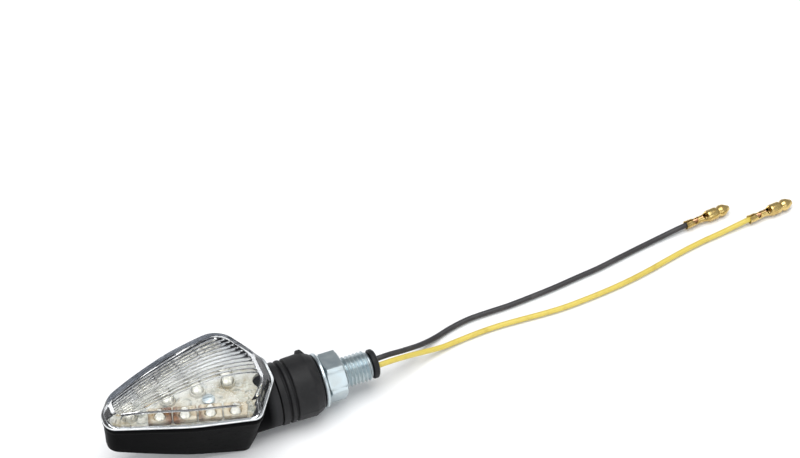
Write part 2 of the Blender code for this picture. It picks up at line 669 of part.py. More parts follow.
# ---------------------------------------------------------------- grommet, wires, terminals
def make_grommet():
    """Rubber plug in the stud's open end, with a hole for each wire."""
    head = THREAD_END + GAP
    profile = [(GROMMET_END, 0.0), (GROMMET_END, GROMMET_RADIUS * 0.62),
               (GROMMET_END - 0.0003, GROMMET_RADIUS * 0.88), (GROMMET_END - 0.0009, GROMMET_RADIUS),
               (head, GROMMET_RADIUS), (head, GROMMET_PLUG_RADIUS), (GROMMET_PLUG_START, GROMMET_PLUG_RADIUS),
               (GROMMET_PLUG_START, 0.0)]
    grommet = turned("end_grommet", profile, "rubber", steps=24, closed=False)
    for side in (-1, 1):
        boolean(grommet, cylinder(f"wire_hole_{side}", WIRE_HOLE, GROMMET_PLUG_START - 0.001,
                                  GROMMET_END + 0.001, segments=12,
                                  centre=(0.0, side * WIRE_OFFSET, AXIS_Z)))
    return grommet


def make_terminal(name, route):
    """Brass bullet terminal crimped on a wire's end, in line with its last stretch."""
    (ax, ay, _), (bx, by, bz) = route[-2:]
    heading = math.atan2(by - ay, bx - ax)
    radius = BULLET_RADIUS
    grip, bore = 0.0017, WIRE_RADIUS + GAP
    profile = [                       # from the nose back to the crimp, then inside the crimp
        (0.0156, 0.0), (0.0156, 0.0009), (0.0146, 0.0013), (0.0133, radius), (0.0121, radius),
        (0.0115, radius - 0.0004), (0.0109, radius), (0.0072, radius), (0.0070, 0.0009),
        (0.0058, 0.0009), (0.0056, 0.0016), (0.0030, 0.0016), (0.0028, 0.0015), (0.0022, 0.0015),
        (0.0020, grip), (-0.0014, grip), (-0.0014, bore), (GAP, bore), (GAP, 0.0),
    ]
    terminal = turned(name, profile, "brass", steps=14, closed=False, centre=(bx, by, bz))
    terminal.rotation_euler = (0.0, math.radians(90), heading)
    return terminal


make_housing()
make_lens()
make_seal()
make_board()
make_reflector()
make_leds()
make_board_screw()
make_board_parts()
make_stem()
make_stud()
make_washer()
make_nut()
make_grommet()
mirrored = tuple((x, -y, z) for x, y, z in INNER_ROUTE)
wire("black_lead_inner", INNER_ROUTE, "black_wire")
wire("yellow_lead_inner", mirrored, "yellow_wire")
wire("black_wire", BLACK_ROUTE, "black_wire")
wire("yellow_wire", YELLOW_ROUTE, "yellow_wire")
make_terminal("black_terminal", BLACK_ROUTE)
make_terminal("yellow_terminal", YELLOW_ROUTE)
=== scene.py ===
"""Looks of an LED turn signal indicator for a motorcycle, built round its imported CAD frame."""

from math import atan2, cos, dist, hypot, pi, radians, remainder, sin, tan, tau

import bmesh
import bpy
from mathutils import Matrix, Vector


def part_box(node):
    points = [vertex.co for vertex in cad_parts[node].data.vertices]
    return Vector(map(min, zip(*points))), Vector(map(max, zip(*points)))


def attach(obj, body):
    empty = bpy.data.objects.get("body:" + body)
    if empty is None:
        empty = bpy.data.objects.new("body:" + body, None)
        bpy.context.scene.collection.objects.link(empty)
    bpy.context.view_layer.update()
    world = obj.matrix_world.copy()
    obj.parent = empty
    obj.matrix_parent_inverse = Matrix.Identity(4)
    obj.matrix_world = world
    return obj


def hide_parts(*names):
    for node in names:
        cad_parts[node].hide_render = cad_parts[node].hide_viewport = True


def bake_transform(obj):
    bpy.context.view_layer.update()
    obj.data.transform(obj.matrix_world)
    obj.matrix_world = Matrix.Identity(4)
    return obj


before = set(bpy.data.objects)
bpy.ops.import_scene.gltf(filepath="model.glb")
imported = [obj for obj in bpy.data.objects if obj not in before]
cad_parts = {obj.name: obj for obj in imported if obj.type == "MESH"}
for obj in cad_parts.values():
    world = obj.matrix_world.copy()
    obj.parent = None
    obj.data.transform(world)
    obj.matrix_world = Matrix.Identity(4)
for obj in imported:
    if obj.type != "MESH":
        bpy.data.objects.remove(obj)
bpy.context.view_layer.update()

# ---------------- dimensions, as in the CAD
AXIS_Z = 0.0102
AXIS = (0.0, 0.0, AXIS_Z)
GAP = 0.0003  # between touching pieces
TIP_X = -0.0445
REAR_X = 0.0086
HALF_OUTLINE = (
    (TIP_X, 0.0037, 0.0042),
    (-0.02, 0.0126, 0.06),
    (-0.0003, 0.0172, 0.003),
    (REAR_X, 0.004, 0.0045),
)
RIM_Z = 0.0223
LIP_Z = 0.0203
LIP_INSET = 0.0003
HOUSING_WALL = 0.0018
BOTTOM_WIDTH = 0.57
BOTTOM_REAR_INSET = 0.004
HEEL_X = -0.004
KEEL_ANGLE = radians(16.0)
KEEL_ROUNDING = 0.0034
COLLAR_RADIUS = 0.0097
COLLAR_START = -0.001
COLLAR_END = 0.0093
COLLAR_BORE = 0.0086
COLLAR_WALL = 0.002
NECK_HOLE = 0.0068
LENS_Z = 0.0234
LENS_WALL = 0.0015
LENS_EDGE = 0.00025  # rounding between side and dome
CREASE_Z = 0.0303  # highest point of the crease, which sinks to both ends
CREASE_PEAK_X = -0.02
CREASE_SINK = 210.0
DOME_Z = 0.0323
DOME_CENTRE_X = -0.014
FLUTES = 15
FLUTE_CUTS = 6  # facets across each flute
FLUTE_HEIGHT = 0.34  # share of a flute's width
FAN_SPOT = (-0.0776, -0.0083)  # the flutes fan out from here
FAN_START = radians(3.9)
FAN_STEP = radians(1.08)
BOARD_Z = 0.0164
REFLECTOR_Z = 0.0208
REFLECTOR_TOP = REFLECTOR_Z + 0.0012
REFLECTOR_INSETS = (0.0026, 0.0026, 0.0036, 0.0042)
LED_RADIUS = 0.0016
LED_FOOT_RADIUS = 0.0019
LED_BORE = LED_RADIUS + 0.0001
NOTCH_SPOT = (0.0054, -0.003)
NOTCH_RADIUS = 0.0034
SCREW_SPOT = (-0.0125, -0.0044)
POST_SPOTS = ((-0.032, 0.0), (-0.0166, 0.0052), SCREW_SPOT)
SIDE_LED_SPOTS = ((-0.028, 0.0047), (-0.0208, 0.0068), (-0.0135, 0.0089), (-0.0063, 0.011))
RAIL_TOP_Z = 0.024
RAIL_LENGTH = 0.0071
RAIL_WIDTH = 0.0042
POST_RADIUS = 0.0022
SCREW_HOLE = 0.0014
SCREW_TIP_Z = 0.0105
CLIP_START = 0.0048  # the stem's clip behind the neck
CLIP_END = 0.007
CLIP_RADIUS = 0.0083
NECK_RADIUS = 0.0065
STEM_START = 0.0096
STEM_END = 0.0237
STEM_END_RADIUS = 0.0087
STEM_RIM_X = 0.0206
STEM_FRONT_RADIUS = 0.0099
STEM_RADIUS = 0.0102
STEM_BORE = 0.0032
GROOVES_X = (0.0121, 0.0142)
GROOVE_DEPTH = 0.0008
NUB_ANGLE = radians(40)
FLANGE_START = 0.0156  # the stud's flange inside the stem
FLANGE_END = 0.0173
FLANGE_RADIUS = 0.0082
STUD_RADIUS = 0.0046
STUD_BORE = 0.003
THREAD_PITCH = 0.00125
THREAD_CREST = 0.00492
THREAD_ROOT = 0.00415
THREAD_START = 0.024
THREAD_END = 0.0414
WASHER_RADIUS = 0.00878
WASHER_BORE = 0.0053
WASHER_GAP = radians(7)
WASHER_CUT = radians(222)
NUT_FLATS = 0.014
NUT_TURN = radians(50.4)
NUT_CREST = 0.00502
NUT_ROOT = 0.0053
GROMMET_RADIUS = 0.0047
WIRE_RADIUS = 0.0009
WIRE_OFFSET = 0.00135
WIRE_START = 0.0434
WIRE_HOLE = 0.00108
SHEET_THICKNESS = 0.00032  # of the terminals
WIRE_LAY_Z = 0.001
SMOOTH_ANGLE = 38.0  # degrees
CORNER_STEPS = 12
EDGE_STEPS = 10


def laid(*points):
    """A wire's route, whose points without a height lie on the table."""
    return [point if len(point) == 3 else (*point, WIRE_LAY_Z) for point in points]


BLACK_ROUTE = laid(
    (WIRE_START, WIRE_OFFSET, AXIS_Z), (0.0455, 0.00145, 0.0102), (0.049, 0.002, 0.0096),
    (0.055, 0.004, 0.0068), (0.062, 0.0071, 0.003), (0.068, 0.0094, 0.0013), (0.074, 0.0114),
    (0.0808, 0.0127), (0.088, 0.013), (0.095, 0.0131), (0.103, 0.0137), (0.1115, 0.0145),
    (0.1205, 0.0157), (0.129, 0.0168), (0.137, 0.0183), (0.145, 0.0198), (0.153, 0.0211, 0.0012),
    (0.159, 0.0218, 0.0017), (0.1628, 0.0222, 0.002), (0.1655, 0.0225, 0.002),
)
YELLOW_ROUTE = laid(
    (WIRE_START, -WIRE_OFFSET, AXIS_Z), (0.0455, -0.00125, 0.0102), (0.049, -0.0007, 0.0096),
    (0.055, 0.0012, 0.007), (0.061, 0.003, 0.0042), (0.068, 0.0044, 0.0019),
    (0.075, 0.0056, 0.0011), (0.083, 0.0063), (0.09, 0.0064), (0.097, 0.0061), (0.1045, 0.0057),
    (0.112, 0.0056), (0.121, 0.0062), (0.129, 0.007), (0.1365, 0.0081), (0.1445, 0.0097),
    (0.152, 0.0115), (0.159, 0.0131), (0.1665, 0.0145), (0.1745, 0.0155, 0.0012),
    (0.18, 0.0161, 0.0017), (0.1836, 0.0165, 0.002), (0.1863, 0.0168, 0.002),
)
INNER_ROUTE = (  # for the wire on the +Y side, from the grommet to the board
    *((x, WIRE_OFFSET, AXIS_Z) for x in (WIRE_START - GAP, 0.03, 0.015, 0.006)),
    (0.001, 0.0016, 0.0103), (-0.003, 0.0022, 0.0113), (-0.0055, 0.0027, 0.0134),
    (-0.0062, 0.0029, BOARD_Z - GAP),
)

# ---------------- camera and lights
CAMERA_AT = Vector((-0.1324, -0.4481, 0.5877))
CAMERA_AIM = Vector((0.0759, 0.0588, 0.0))


def placed(name, data):
    """A new object of the scene."""
    made = bpy.data.objects.new(name, data)
    bpy.context.scene.collection.objects.link(made)
    return made


def aimed(name, data, at, target):
    """A new object with its -Z axis pointed at a target and +Y as near up as it gets."""
    made = placed(name, data)
    made.location = at
    made.rotation_euler = (Vector(target) - Vector(at)).to_track_quat("-Z", "Y").to_euler()
    return made


camera_data = bpy.data.cameras.new("camera")
camera_data.lens = 108.0
camera_data.sensor_width = 36.0
camera_data.clip_start = 0.01
camera_data.clip_end = 20.0
bpy.context.scene.camera = aimed("camera", camera_data, CAMERA_AT, CAMERA_AIM)
bpy.context.scene.view_settings.view_transform = "Standard"
bpy.context.scene.view_settings.look = "None"


def softbox(name, at, target, width, height, power, colour=(1.0, 1.0, 1.0)):
    """A rectangular studio light."""
    light = bpy.data.lights.new(name, "AREA")
    light.shape = "RECTANGLE"
    light.size = width
    light.size_y = height
    light.energy = power
    light.color = colour
    aimed(name, light, at, target)


softbox("top", (0.05, -0.05, 1.1), (0.05, 0.0, 0.0), 1.0, 0.9, 11.0)
softbox("front", (0.25, -0.9, 0.42), (0.02, 0.0, 0.01), 0.9, 0.4, 1.8, (0.96, 0.985, 1.0))
softbox("tip", (-0.7, -0.2, 0.45), (-0.02, 0.0, 0.02), 0.45, 0.35, 1.5)


def studio_world():
    """Pale grey surroundings, a little brighter towards the front."""
    world = bpy.data.worlds.new("studio")
    world.use_nodes = True
    bpy.context.scene.world = world
    nodes, links = world.node_tree.nodes, world.node_tree.links
    place = nodes.new("ShaderNodeTexCoord")
    split = nodes.new("ShaderNodeSeparateXYZ")
    links.new(place.outputs["Generated"], split.inputs["Vector"])
    front = nodes.new("ShaderNodeMapRange")
    for socket, value in (("From Min", 0.75), ("From Max", -0.45), ("To Min", 0.42), ("To Max", 0.55)):
        front.inputs[socket].default_value = value
    links.new(split.outputs["Y"], front.inputs["Value"])
    links.new(front.outputs["Result"], nodes["Background"].inputs["Strength"])
    nodes["Background"].inputs["Color"].default_value = (0.93, 0.96, 1.0, 1.0)


studio_world()


# ---------------- materials
class Shade:
    """A Principled material with short ways to add patterns to it."""

    def __init__(self, name, colour, roughness, metallic=0.0, **sockets):
        self.material = bpy.data.materials.new(name)
        self.material.use_nodes = True
        self.tree = self.material.node_tree
        self.shader = self.tree.nodes["Principled BSDF"]
        sockets |= {"Base_Color": (*colour, 1.0), "Roughness": roughness, "Metallic": metallic}
        for socket, value in sockets.items():
            self.set(socket.replace("_", " "), value)
        self.place = self.tree.nodes.new("ShaderNodeTexCoord").outputs["Object"]

    def plug(self, socket, value):
        """Give a socket a value or a link."""
        if isinstance(value, bpy.types.NodeSocket):
            self.tree.links.new(value, socket)
        else:
            socket.default_value = value

    def set(self, socket, value):
        self.plug(self.shader.inputs[socket], value)

    def node(self, kind, settings=None, **inputs):
        """A node whose inputs are given by name, as values or as links."""
        made = self.tree.nodes.new("ShaderNode" + kind)
        for key, value in (settings or {}).items():
            setattr(made, key, value)
        for key, value in inputs.items():
            self.plug(made.inputs[key.replace("_", " ")], value)
        return made

    def axes(self):
        """The object's own X, Y and Z, in metres."""
        return self.node("SeparateXYZ", Vector=self.place).outputs

    def noise(self, scale, detail=3.0, stretch=(1.0, 1.0, 1.0), distortion=0.0):
        """Noise over the object, in cycles per metre, finer along axes with more stretch."""
        mapping = self.node("Mapping", Vector=self.place, Scale=stretch)
        made = self.node("TexNoise", Vector=mapping.outputs["Vector"], Scale=scale, Detail=detail,
                         Distortion=distortion)
        return made.outputs["Fac"]

    def spread(self, fac, low, high, start=0.3, end=0.7):
        """Map a value to a range."""
        return self.node("MapRange", Value=fac, **{"From_Min": start, "From_Max": end, "To_Min": low,
                                                   "To_Max": high}).outputs["Result"]

    def mix(self, fac, first, second):
        """Mix two colours, each a tuple or a link."""
        made = self.node("Mix", {"data_type": "RGBA"})
        for socket, value in ((made.inputs[0], fac), (made.inputs[6], first), (made.inputs[7], second)):
            self.plug(socket, (*value, 1.0) if isinstance(value, tuple) else value)
        return made.outputs[2]

    def ramp(self, fac, start, end, first, second, most=1.0):
        """Go from one colour to another, or part of the way, over a stretch of a value."""
        return self.mix(self.spread(fac, 0.0, most, start, end), first, second)

    def math(self, operation, first, second=0.0):
        """A calculation on values or links."""
        made = self.node("Math", {"operation": operation})
        self.plug(made.inputs[0], first)
        self.plug(made.inputs[1], second)
        return made.outputs[0]

    def product(self, first, *others):
        for other in others:
            first = self.math("MULTIPLY", first, other)
        return first

    def colour(self, link):
        self.set("Base Color", link)

    def rough(self, link):
        self.set("Roughness", link)

    def bump(self, *layers):
        """Stack bumps, each given as (height link, depth in metres)."""
        normal = None
        for height, depth in layers:
            made = self.node("Bump", Height=height, Distance=depth, Strength=1.0)
            if normal:
                self.tree.links.new(normal, made.inputs["Normal"])
            normal = made.outputs["Normal"]
        self.set("Normal", normal)

    def glass(self, shadow_tint):
        """Let light from lamps through as well as the view."""
        light_path = self.node("LightPath")
        clear = self.node("BsdfTransparent", Color=(*shadow_tint, 1.0))
        mix = self.node("MixShader")
        output = self.tree.nodes["Material Output"]
        links = (light_path.outputs["Is Shadow Ray"], self.shader.outputs[0], clear.outputs[0])
        for socket, link in zip(mix.inputs, links):
            self.plug(socket, link)
        self.plug(output.inputs["Surface"], mix.outputs[0])


def black_plastic():
    """Satin ABS with a fine spark-eroded grain and faint scuffs, and a painted highlight on its collar at the
    rear.
    """
    s = Shade("black_plastic", (0.012, 0.012, 0.013), 0.42, Specular_IOR_Level=0.02)
    grain = s.noise(5200.0, 2.0)
    cloud = s.noise(160.0, 4.0)
    scuff = s.noise(420.0, 5.0, (1.0, 7.0, 3.0), 0.4)
    gloss = s.mix(cloud, (0.34, 0.34, 0.34), (0.5, 0.5, 0.5))
    s.rough(s.ramp(scuff, 0.6, 0.72, gloss, (0.62, 0.62, 0.62)))
    hull = s.ramp(cloud, 0.3, 0.7, (0.0011, 0.0011, 0.0013), (0.0024, 0.0024, 0.0027))
    # Painted highlight: the rear end and collar are painted lighter than the rest of the hull.
    s.colour(s.ramp(s.axes()["X"], REAR_X - 0.0035, REAR_X - 0.001, hull, (0.034, 0.034, 0.035)))
    s.bump((grain, 0.000018), (cloud, 0.0001))
    return s.material


def stem_rubber():
    """Black rubber with a dull bloom, a fine grain and moulding flow marks."""
    s = Shade("stem_rubber", (0.016, 0.016, 0.017), 0.55, Specular_IOR_Level=0.22)
    bloom = s.noise(240.0, 5.0, distortion=0.6)
    grain = s.noise(4200.0)
    flow = s.noise(500.0, 2.0, (6.0, 1.0, 1.0))
    s.colour(s.ramp(bloom, 0.42, 0.75, (0.0115, 0.0115, 0.0122), (0.0215, 0.0212, 0.0216)))
    s.rough(s.spread(bloom, 0.46, 0.66))
    s.bump((grain, 0.00003), (flow, 0.00006))
    return s.material


def lens_plastic():
    """Clear polycarbonate with painted shade where it is seen edge on, along its ribs and down its far side,
    for the dark housing seen through it.
    """
    s = Shade("clear_lens", (0.965, 0.975, 0.98), 0.03, Transmission_Weight=1.0, IOR=1.5,
              Specular_Tint=(0.35, 0.36, 0.38, 1.0))
    x, y, z = s.axes()

    # Painted shade: dark lines along the flute valleys, in patches, fading out towards the rear.
    angle = s.math("ARCTAN2", s.math("SUBTRACT", y, FAN_SPOT[1]), s.math("SUBTRACT", x, FAN_SPOT[0]))
    place = s.math("DIVIDE", s.math("SUBTRACT", angle, FAN_START), FAN_STEP)
    valley = s.spread(s.math("PINGPONG", place, 0.5), 1.0, 0.0, 0.06, 0.22)
    patches = s.spread(s.noise(190.0, 3.0, (0.5, 1.6, 1.0)), 0.05, 1.0, 0.46, 0.54)
    strength = s.product(s.spread(place, 0.0, 1.0, -0.1, 0.1), s.spread(x, 0.97, 0.35, -0.026, -0.008))
    ribs = s.product(valley, patches, strength)

    # Painted shade down the far side: streaks below the crease and a dark band at the lens's foot.
    sink = s.math("POWER", s.math("ABSOLUTE", s.math("SUBTRACT", x, CREASE_PEAK_X)), 3.0)
    crease = s.math("SUBTRACT", CREASE_Z, s.product(sink, CREASE_SINK))
    below = s.spread(s.math("SUBTRACT", crease, z), 0.0, 1.0, 0.0002, 0.0012)
    shade_streaks = s.spread(s.noise(330.0, 3.0, (0.5, 0.5, 2.2)), 0.05, 0.8, 0.45, 0.6)
    foot = s.spread(z, 1.0, 0.0, 0.024, 0.0249)
    far = s.product(s.math("MAXIMUM", s.product(below, shade_streaks), foot), s.spread(y, 0.0, 1.0, 0.001, 0.0045))

    # Painted shade where the lens is seen edge on.
    edge_shade_mask = s.node("LayerWeight", Blend=0.45).outputs["Facing"]
    clear = s.ramp(edge_shade_mask, 0.25, 0.95, (0.975, 0.985, 0.99), (0.05, 0.055, 0.07))
    # The painted shade of the ribs and far side darkens the colour towards dark blue-grey.
    s.colour(s.mix(s.math("MAXIMUM", ribs, far), clear, (0.055, 0.06, 0.075)))
    s.rough(s.spread(s.noise(900.0), 0.015, 0.05, 0.35, 0.75))
    s.bump((s.noise(260.0, 2.0), 0.00005))
    s.glass((0.93, 0.945, 0.95))
    return s.material


def weld_plastic():
    """The melted seam between lens and housing: black below, milky above."""
    s = Shade("weld_seam", (0.82, 0.83, 0.82), 0.25)
    runs = s.noise(650.0)
    pale = s.ramp(runs, 0.35, 0.7, (0.86, 0.87, 0.87), (0.55, 0.57, 0.57))
    s.colour(s.ramp(s.axes()["Z"], RIM_Z + 0.00055, RIM_Z + 0.0007, (0.012, 0.012, 0.013), pale))
    s.rough(s.spread(runs, 0.16, 0.4))
    s.bump((s.noise(1500.0, 2.0), 0.00004))
    return s.material


def reflector_plastic():
    """Cream plastic with warm stains, painted grey-green shadows, painted shade on its near half that pales
    towards the far side, and a faint pebble.
    """
    s = Shade("reflector_cream", (0.6, 0.58, 0.48), 0.45, Specular_IOR_Level=0.3)
    stain = s.noise(190.0, 4.0, distortion=0.5)
    shade = s.noise(310.0, 3.0, (1.0, 1.3, 1.0), 1.2)
    fine = s.noise(1300.0)
    warm = s.ramp(stain, 0.46, 0.66, (0.39, 0.37, 0.31), (0.28, 0.23, 0.14))
    # Painted shadow: grey-green patches.
    cool = s.ramp(shade, 0.52, 0.64, warm, (0.17, 0.175, 0.15), 0.9)
    near = s.ramp(fine, 0.5, 0.66, cool, (0.56, 0.56, 0.52), 0.6)
    # Painted light and shade: the near half keeps the darker mottled cream, the far side is painted pale
    # grey.
    s.colour(s.ramp(s.axes()["Y"], -0.001, 0.006, near, (0.66, 0.67, 0.68), 0.85))
    s.rough(s.spread(fine, 0.32, 0.55))
    s.bump((stain, 0.0004), (shade, 0.0003), (fine, 0.0001))
    return s.material


def board_mask():
    """Pale solder mask with the copper tracks showing through as darker lines."""
    s = Shade("solder_mask", (0.8, 0.79, 0.7), 0.35)
    wave = s.node("TexWave", {"wave_type": "BANDS", "bands_direction": "Y"}, Vector=s.place, Scale=190.0,
                  Distortion=2.5, Detail=1.0).outputs["Fac"]
    track = s.spread(wave, 0.0, 1.0, 0.55, 0.62)
    s.colour(s.mix(track, (0.83, 0.82, 0.74), (0.62, 0.6, 0.47)))
    s.rough(s.spread(s.noise(800.0), 0.28, 0.45))
    s.bump((track, 0.00004))
    return s.material


def led_epoxy():
    """Clear epoxy with a faint warm cast."""
    s = Shade("led_epoxy", (0.99, 0.97, 0.9), 0.04, Transmission_Weight=0.62, IOR=1.3,
              Specular_Tint=(0.6, 0.6, 0.6, 1.0))
    s.rough(s.spread(s.noise(700.0), 0.02, 0.09))
    s.glass((0.97, 0.95, 0.88))
    return s.material


def amber_plastic():
    """Amber resin of the blocks round the side diodes, darker brown round the joints between blocks and at
    the tip end, with its far row painted pale as painted light.
    """
    s = Shade("amber_resin", (0.62, 0.33, 0.08), 0.18)
    depth = s.noise(420.0, 4.0, distortion=0.8)
    along, across, _ = s.axes()
    # Darker brown round the joints between the first blocks and at the tip end of the first.
    joint_brown = 0.0
    for x, amount, near, far in ((-0.0246, 1.0, 0.0012, 0.0034), (-0.0166, 0.75, 0.0002, 0.0014),
                                 (-0.0316, 0.6, 0.0002, 0.0012)):
        away = s.math("ABSOLUTE", s.math("SUBTRACT", along, x))
        joint_brown = s.math("MAXIMUM", joint_brown, s.spread(away, amount, 0.0, near, far))
    pale = s.ramp(depth, 0.42, 0.66, (0.42, 0.37, 0.28), (0.26, 0.18, 0.09))
    deep = s.ramp(depth, 0.38, 0.58, (0.15, 0.058, 0.012), (0.06, 0.019, 0.004))
    # Painted light: the blocks on the far side (+Y) are painted pale cream.
    s.colour(s.ramp(across, -0.001, 0.003, s.mix(joint_brown, pale, deep), (0.55, 0.54, 0.5), 0.8))
    s.rough(s.spread(depth, 0.1, 0.3))
    s.bump((depth, 0.00015))
    return s.material


def zinc_plating():
    """Bright zinc with a faint blue passivation, fine turning marks and dull patches."""
    s = Shade("zinc_plating", (0.74, 0.79, 0.83), 0.24, 1.0)
    patch = s.noise(260.0, 4.0, distortion=0.5)
    marks = s.noise(900.0, 3.0, (9.0, 1.0, 1.0))
    tint = s.ramp(patch, 0.35, 0.7, (0.47, 0.54, 0.57), (0.56, 0.61, 0.61))
    s.colour(s.ramp(marks, 0.5, 0.75, tint, (0.42, 0.49, 0.54), 0.3))
    s.rough(s.spread(patch, 0.28, 0.46))
    s.bump((marks, 0.00002), (patch, 0.00004))
    return s.material


def brass():
    """Drawn brass with lengthwise marks, light tarnish and brighter rubbed spots."""
    s = Shade("brass", (0.8, 0.58, 0.27), 0.24, 1.0)
    tarnish = s.noise(330.0, 4.0, distortion=0.6)
    marks = s.noise(1200.0, 2.0, (1.0, 7.0, 7.0))
    base = s.ramp(tarnish, 0.35, 0.72, (0.72, 0.54, 0.21), (0.47, 0.3, 0.09))
    s.colour(s.ramp(marks, 0.5, 0.7, base, (0.84, 0.7, 0.38), 0.3))
    s.rough(s.spread(tarnish, 0.15, 0.36))
    s.bump((marks, 0.000015), (tarnish, 0.00003))
    return s.material


def led_silver():
    """Pale silvered lead frame."""
    s = Shade("led_silver", (0.88, 0.87, 0.83), 0.35, 0.1)
    s.colour(s.mix(s.noise(900.0), (0.9, 0.89, 0.86), (0.74, 0.7, 0.6)))
    s.rough(s.spread(s.noise(1400.0), 0.25, 0.45))
    return s.material


def copper():
    """Bare copper strands."""
    s = Shade("strand_copper", (0.78, 0.45, 0.27), 0.3, 1.0)
    s.rough(s.spread(s.noise(1500.0), 0.22, 0.42))
    s.colour(s.mix(s.noise(800.0), (0.82, 0.5, 0.3), (0.66, 0.36, 0.2)))
    return s.material


def wire_pvc(name, colour, dark, rough_low, rough_high):
    """PVC insulation: faint drawing lines, uneven gloss and grubby stretches."""
    s = Shade(name, colour, rough_low)
    dirt = s.noise(210.0, 5.0, distortion=0.4)
    lines = s.noise(2600.0, 2.0, (0.15, 1.0, 1.0))
    s.colour(s.ramp(dirt, 0.5, 0.78, colour, dark))
    s.rough(s.spread(dirt, rough_low, rough_high))
    s.bump((lines, 0.00002), (dirt, 0.00005))
    return s.material


def floor_paper():
    """White studio paper with a barely visible tooth."""
    s = Shade("studio_paper", (0.9, 0.9, 0.9), 0.85, Specular_IOR_Level=0.1)
    s.colour(s.mix(s.noise(300.0), (0.89, 0.89, 0.89), (0.91, 0.91, 0.91)))
    return s.material


PLASTIC = black_plastic()
RUBBER = stem_rubber()
LENS = lens_plastic()
WELD = weld_plastic()
CREAM = reflector_plastic()
BOARD = board_mask()
EPOXY = led_epoxy()
AMBER = amber_plastic()
ZINC = zinc_plating()
BRASS = brass()
COPPER = copper()
SILVER = led_silver()
BLACK_PVC = wire_pvc("black_pvc", (0.028, 0.026, 0.028), (0.06, 0.056, 0.056), 0.34, 0.52)
YELLOW_PVC = wire_pvc("yellow_pvc", (0.66, 0.52, 0.095), (0.5, 0.37, 0.06), 0.3, 0.45)


# ---------------- mesh helpers
def finish_piece(piece, material, body, nodes=()):
    """Give a piece its material and its body, and hide the CAD nodes that it stands for."""
    piece.data.materials.clear()
    piece.data.materials.append(material)
    if body:
        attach(piece, body)
    if nodes:
        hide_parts(*nodes)


def smoothed(mesh, angle=SMOOTH_ANGLE):
    """Shade a mesh smooth, apart from its edges above an angle."""
    mesh.shade_smooth()
    mesh.set_sharp_from_angle(angle=radians(angle))
    return mesh


def linked(name, bm, angle=SMOOTH_ANGLE):
    """A new object from a bmesh, with outward faces and smooth round sides."""
    bmesh.ops.recalc_face_normals(bm, faces=bm.faces)
    mesh = bpy.data.meshes.new(name)
    bm.to_mesh(mesh)
    bm.free()
    return placed(name, smoothed(mesh, angle))


def absorb(bm, other):
    """Move another bmesh's shape into a bmesh."""
    mesh = bpy.data.meshes.new("absorbed")
    other.to_mesh(mesh)
    other.free()
    bm.from_mesh(mesh)
    bpy.data.meshes.remove(mesh)


def evaluated_mesh(obj):
    """An object's mesh with its modifiers or its curve's bevel applied."""
    bpy.context.view_layer.update()
    return bpy.data.meshes.new_from_object(obj.evaluated_get(bpy.context.evaluated_depsgraph_get()))


def applied(piece):
    """Apply a piece's modifiers and remove the cutters they used."""
    cutters = [m.object for m in piece.modifiers if m.type == "BOOLEAN"]
    mesh = evaluated_mesh(piece)
    piece.modifiers.clear()
    piece.data = smoothed(mesh)
    for cutter in cutters:
        bpy.data.objects.remove(cutter)
    return piece


def boolean(piece, other, operation="DIFFERENCE"):
    """Cut a piece with another object, or join them."""
    modifier = piece.modifiers.new(other.name, "BOOLEAN")
    modifier.operation = operation
    modifier.object = other


def bevelled(piece, width, segments):
    """Round a piece's sharp edges."""
    modifier = piece.modifiers.new("edges", "BEVEL")
    modifier.width = width
    modifier.segments = segments
    modifier.limit_method = "ANGLE"
    modifier.angle_limit = radians(30.0)
    return piece


def add_box(bm, size, centre, turn=0.0):
    """Add a box, turned about Z."""
    made = bmesh.ops.create_cube(bm, size=1.0)["verts"]
    bmesh.ops.scale(bm, vec=size, verts=made)
    bmesh.ops.rotate(bm, matrix=Matrix.Rotation(turn, 3, "Z"), verts=made)
    bmesh.ops.translate(bm, vec=centre, verts=made)


def circle(steps):
    """Evenly spaced angles of a full turn."""
    return [tau * k / steps for k in range(steps)]


def about_axis(x, radius, angle):
    """A point at a radius and an angle about the stem's axis."""
    return (x, radius * cos(angle), AXIS_Z + radius * sin(angle))


def turned_bm(profile, steps=64, along="X", centre=AXIS, wobble=None):
    """Turn (position, radius) points about a line along X or Z through centre.

    A closed ring of points makes a ring round a bore, and points on the axis close an end.
    """
    bm = bmesh.new()
    on_axis = profile[0][1] < 1e-7
    rows = []
    for position, radius in profile:
        row = []
        for k in range(1 if radius < 1e-7 else steps):
            a = tau * k / steps
            r = radius + (wobble(position, radius, a) if wobble else 0.0)
            across = (r * cos(a), r * sin(a))
            point = (position, *across) if along == "X" else (*across, position)
            row.append(bm.verts.new(Vector(centre) + Vector(point)))
        rows.append(row)
    pairs = list(zip(rows, rows[1:]))
    if not on_axis:
        pairs.append((rows[-1], rows[0]))
    for a, b in pairs:
        for k in range(steps):
            j = (k + 1) % steps
            quad = [a[k % len(a)], a[j % len(a)], b[j % len(b)], b[k % len(b)]]
            face = [v for i, v in enumerate(quad) if v not in quad[:i]]
            if len(face) > 2:
                bm.faces.new(face)
    return bm


def rounded_profile(points, radius):
    """Round the corners of a (position, radius) profile, apart from its first and last point."""
    made = [points[0]]
    for before, corner, after in zip(points, points[1:], points[2:]):
        a, c, b = Vector(before), Vector(corner), Vector(after)
        reach = min(radius, (a - c).length * 0.45, (b - c).length * 0.45)
        start = c + (a - c).normalized() * reach
        end = c + (b - c).normalized() * reach
        for i in range(4):
            t = i / 3
            p = start * (1 - t) ** 2 + c * 2 * t * (1 - t) + end * t * t
            made.append((p.x, p.y))
    made.append(points[-1])
    return made


def cylinder(name, radius, start, end, segments=48, along="X", centre=AXIS):
    """A closed cylinder between two positions on a line through centre."""
    return linked(name, turned_bm([(end, 0.0), (end, radius), (start, radius), (start, 0.0)], segments, along,
                                  centre))


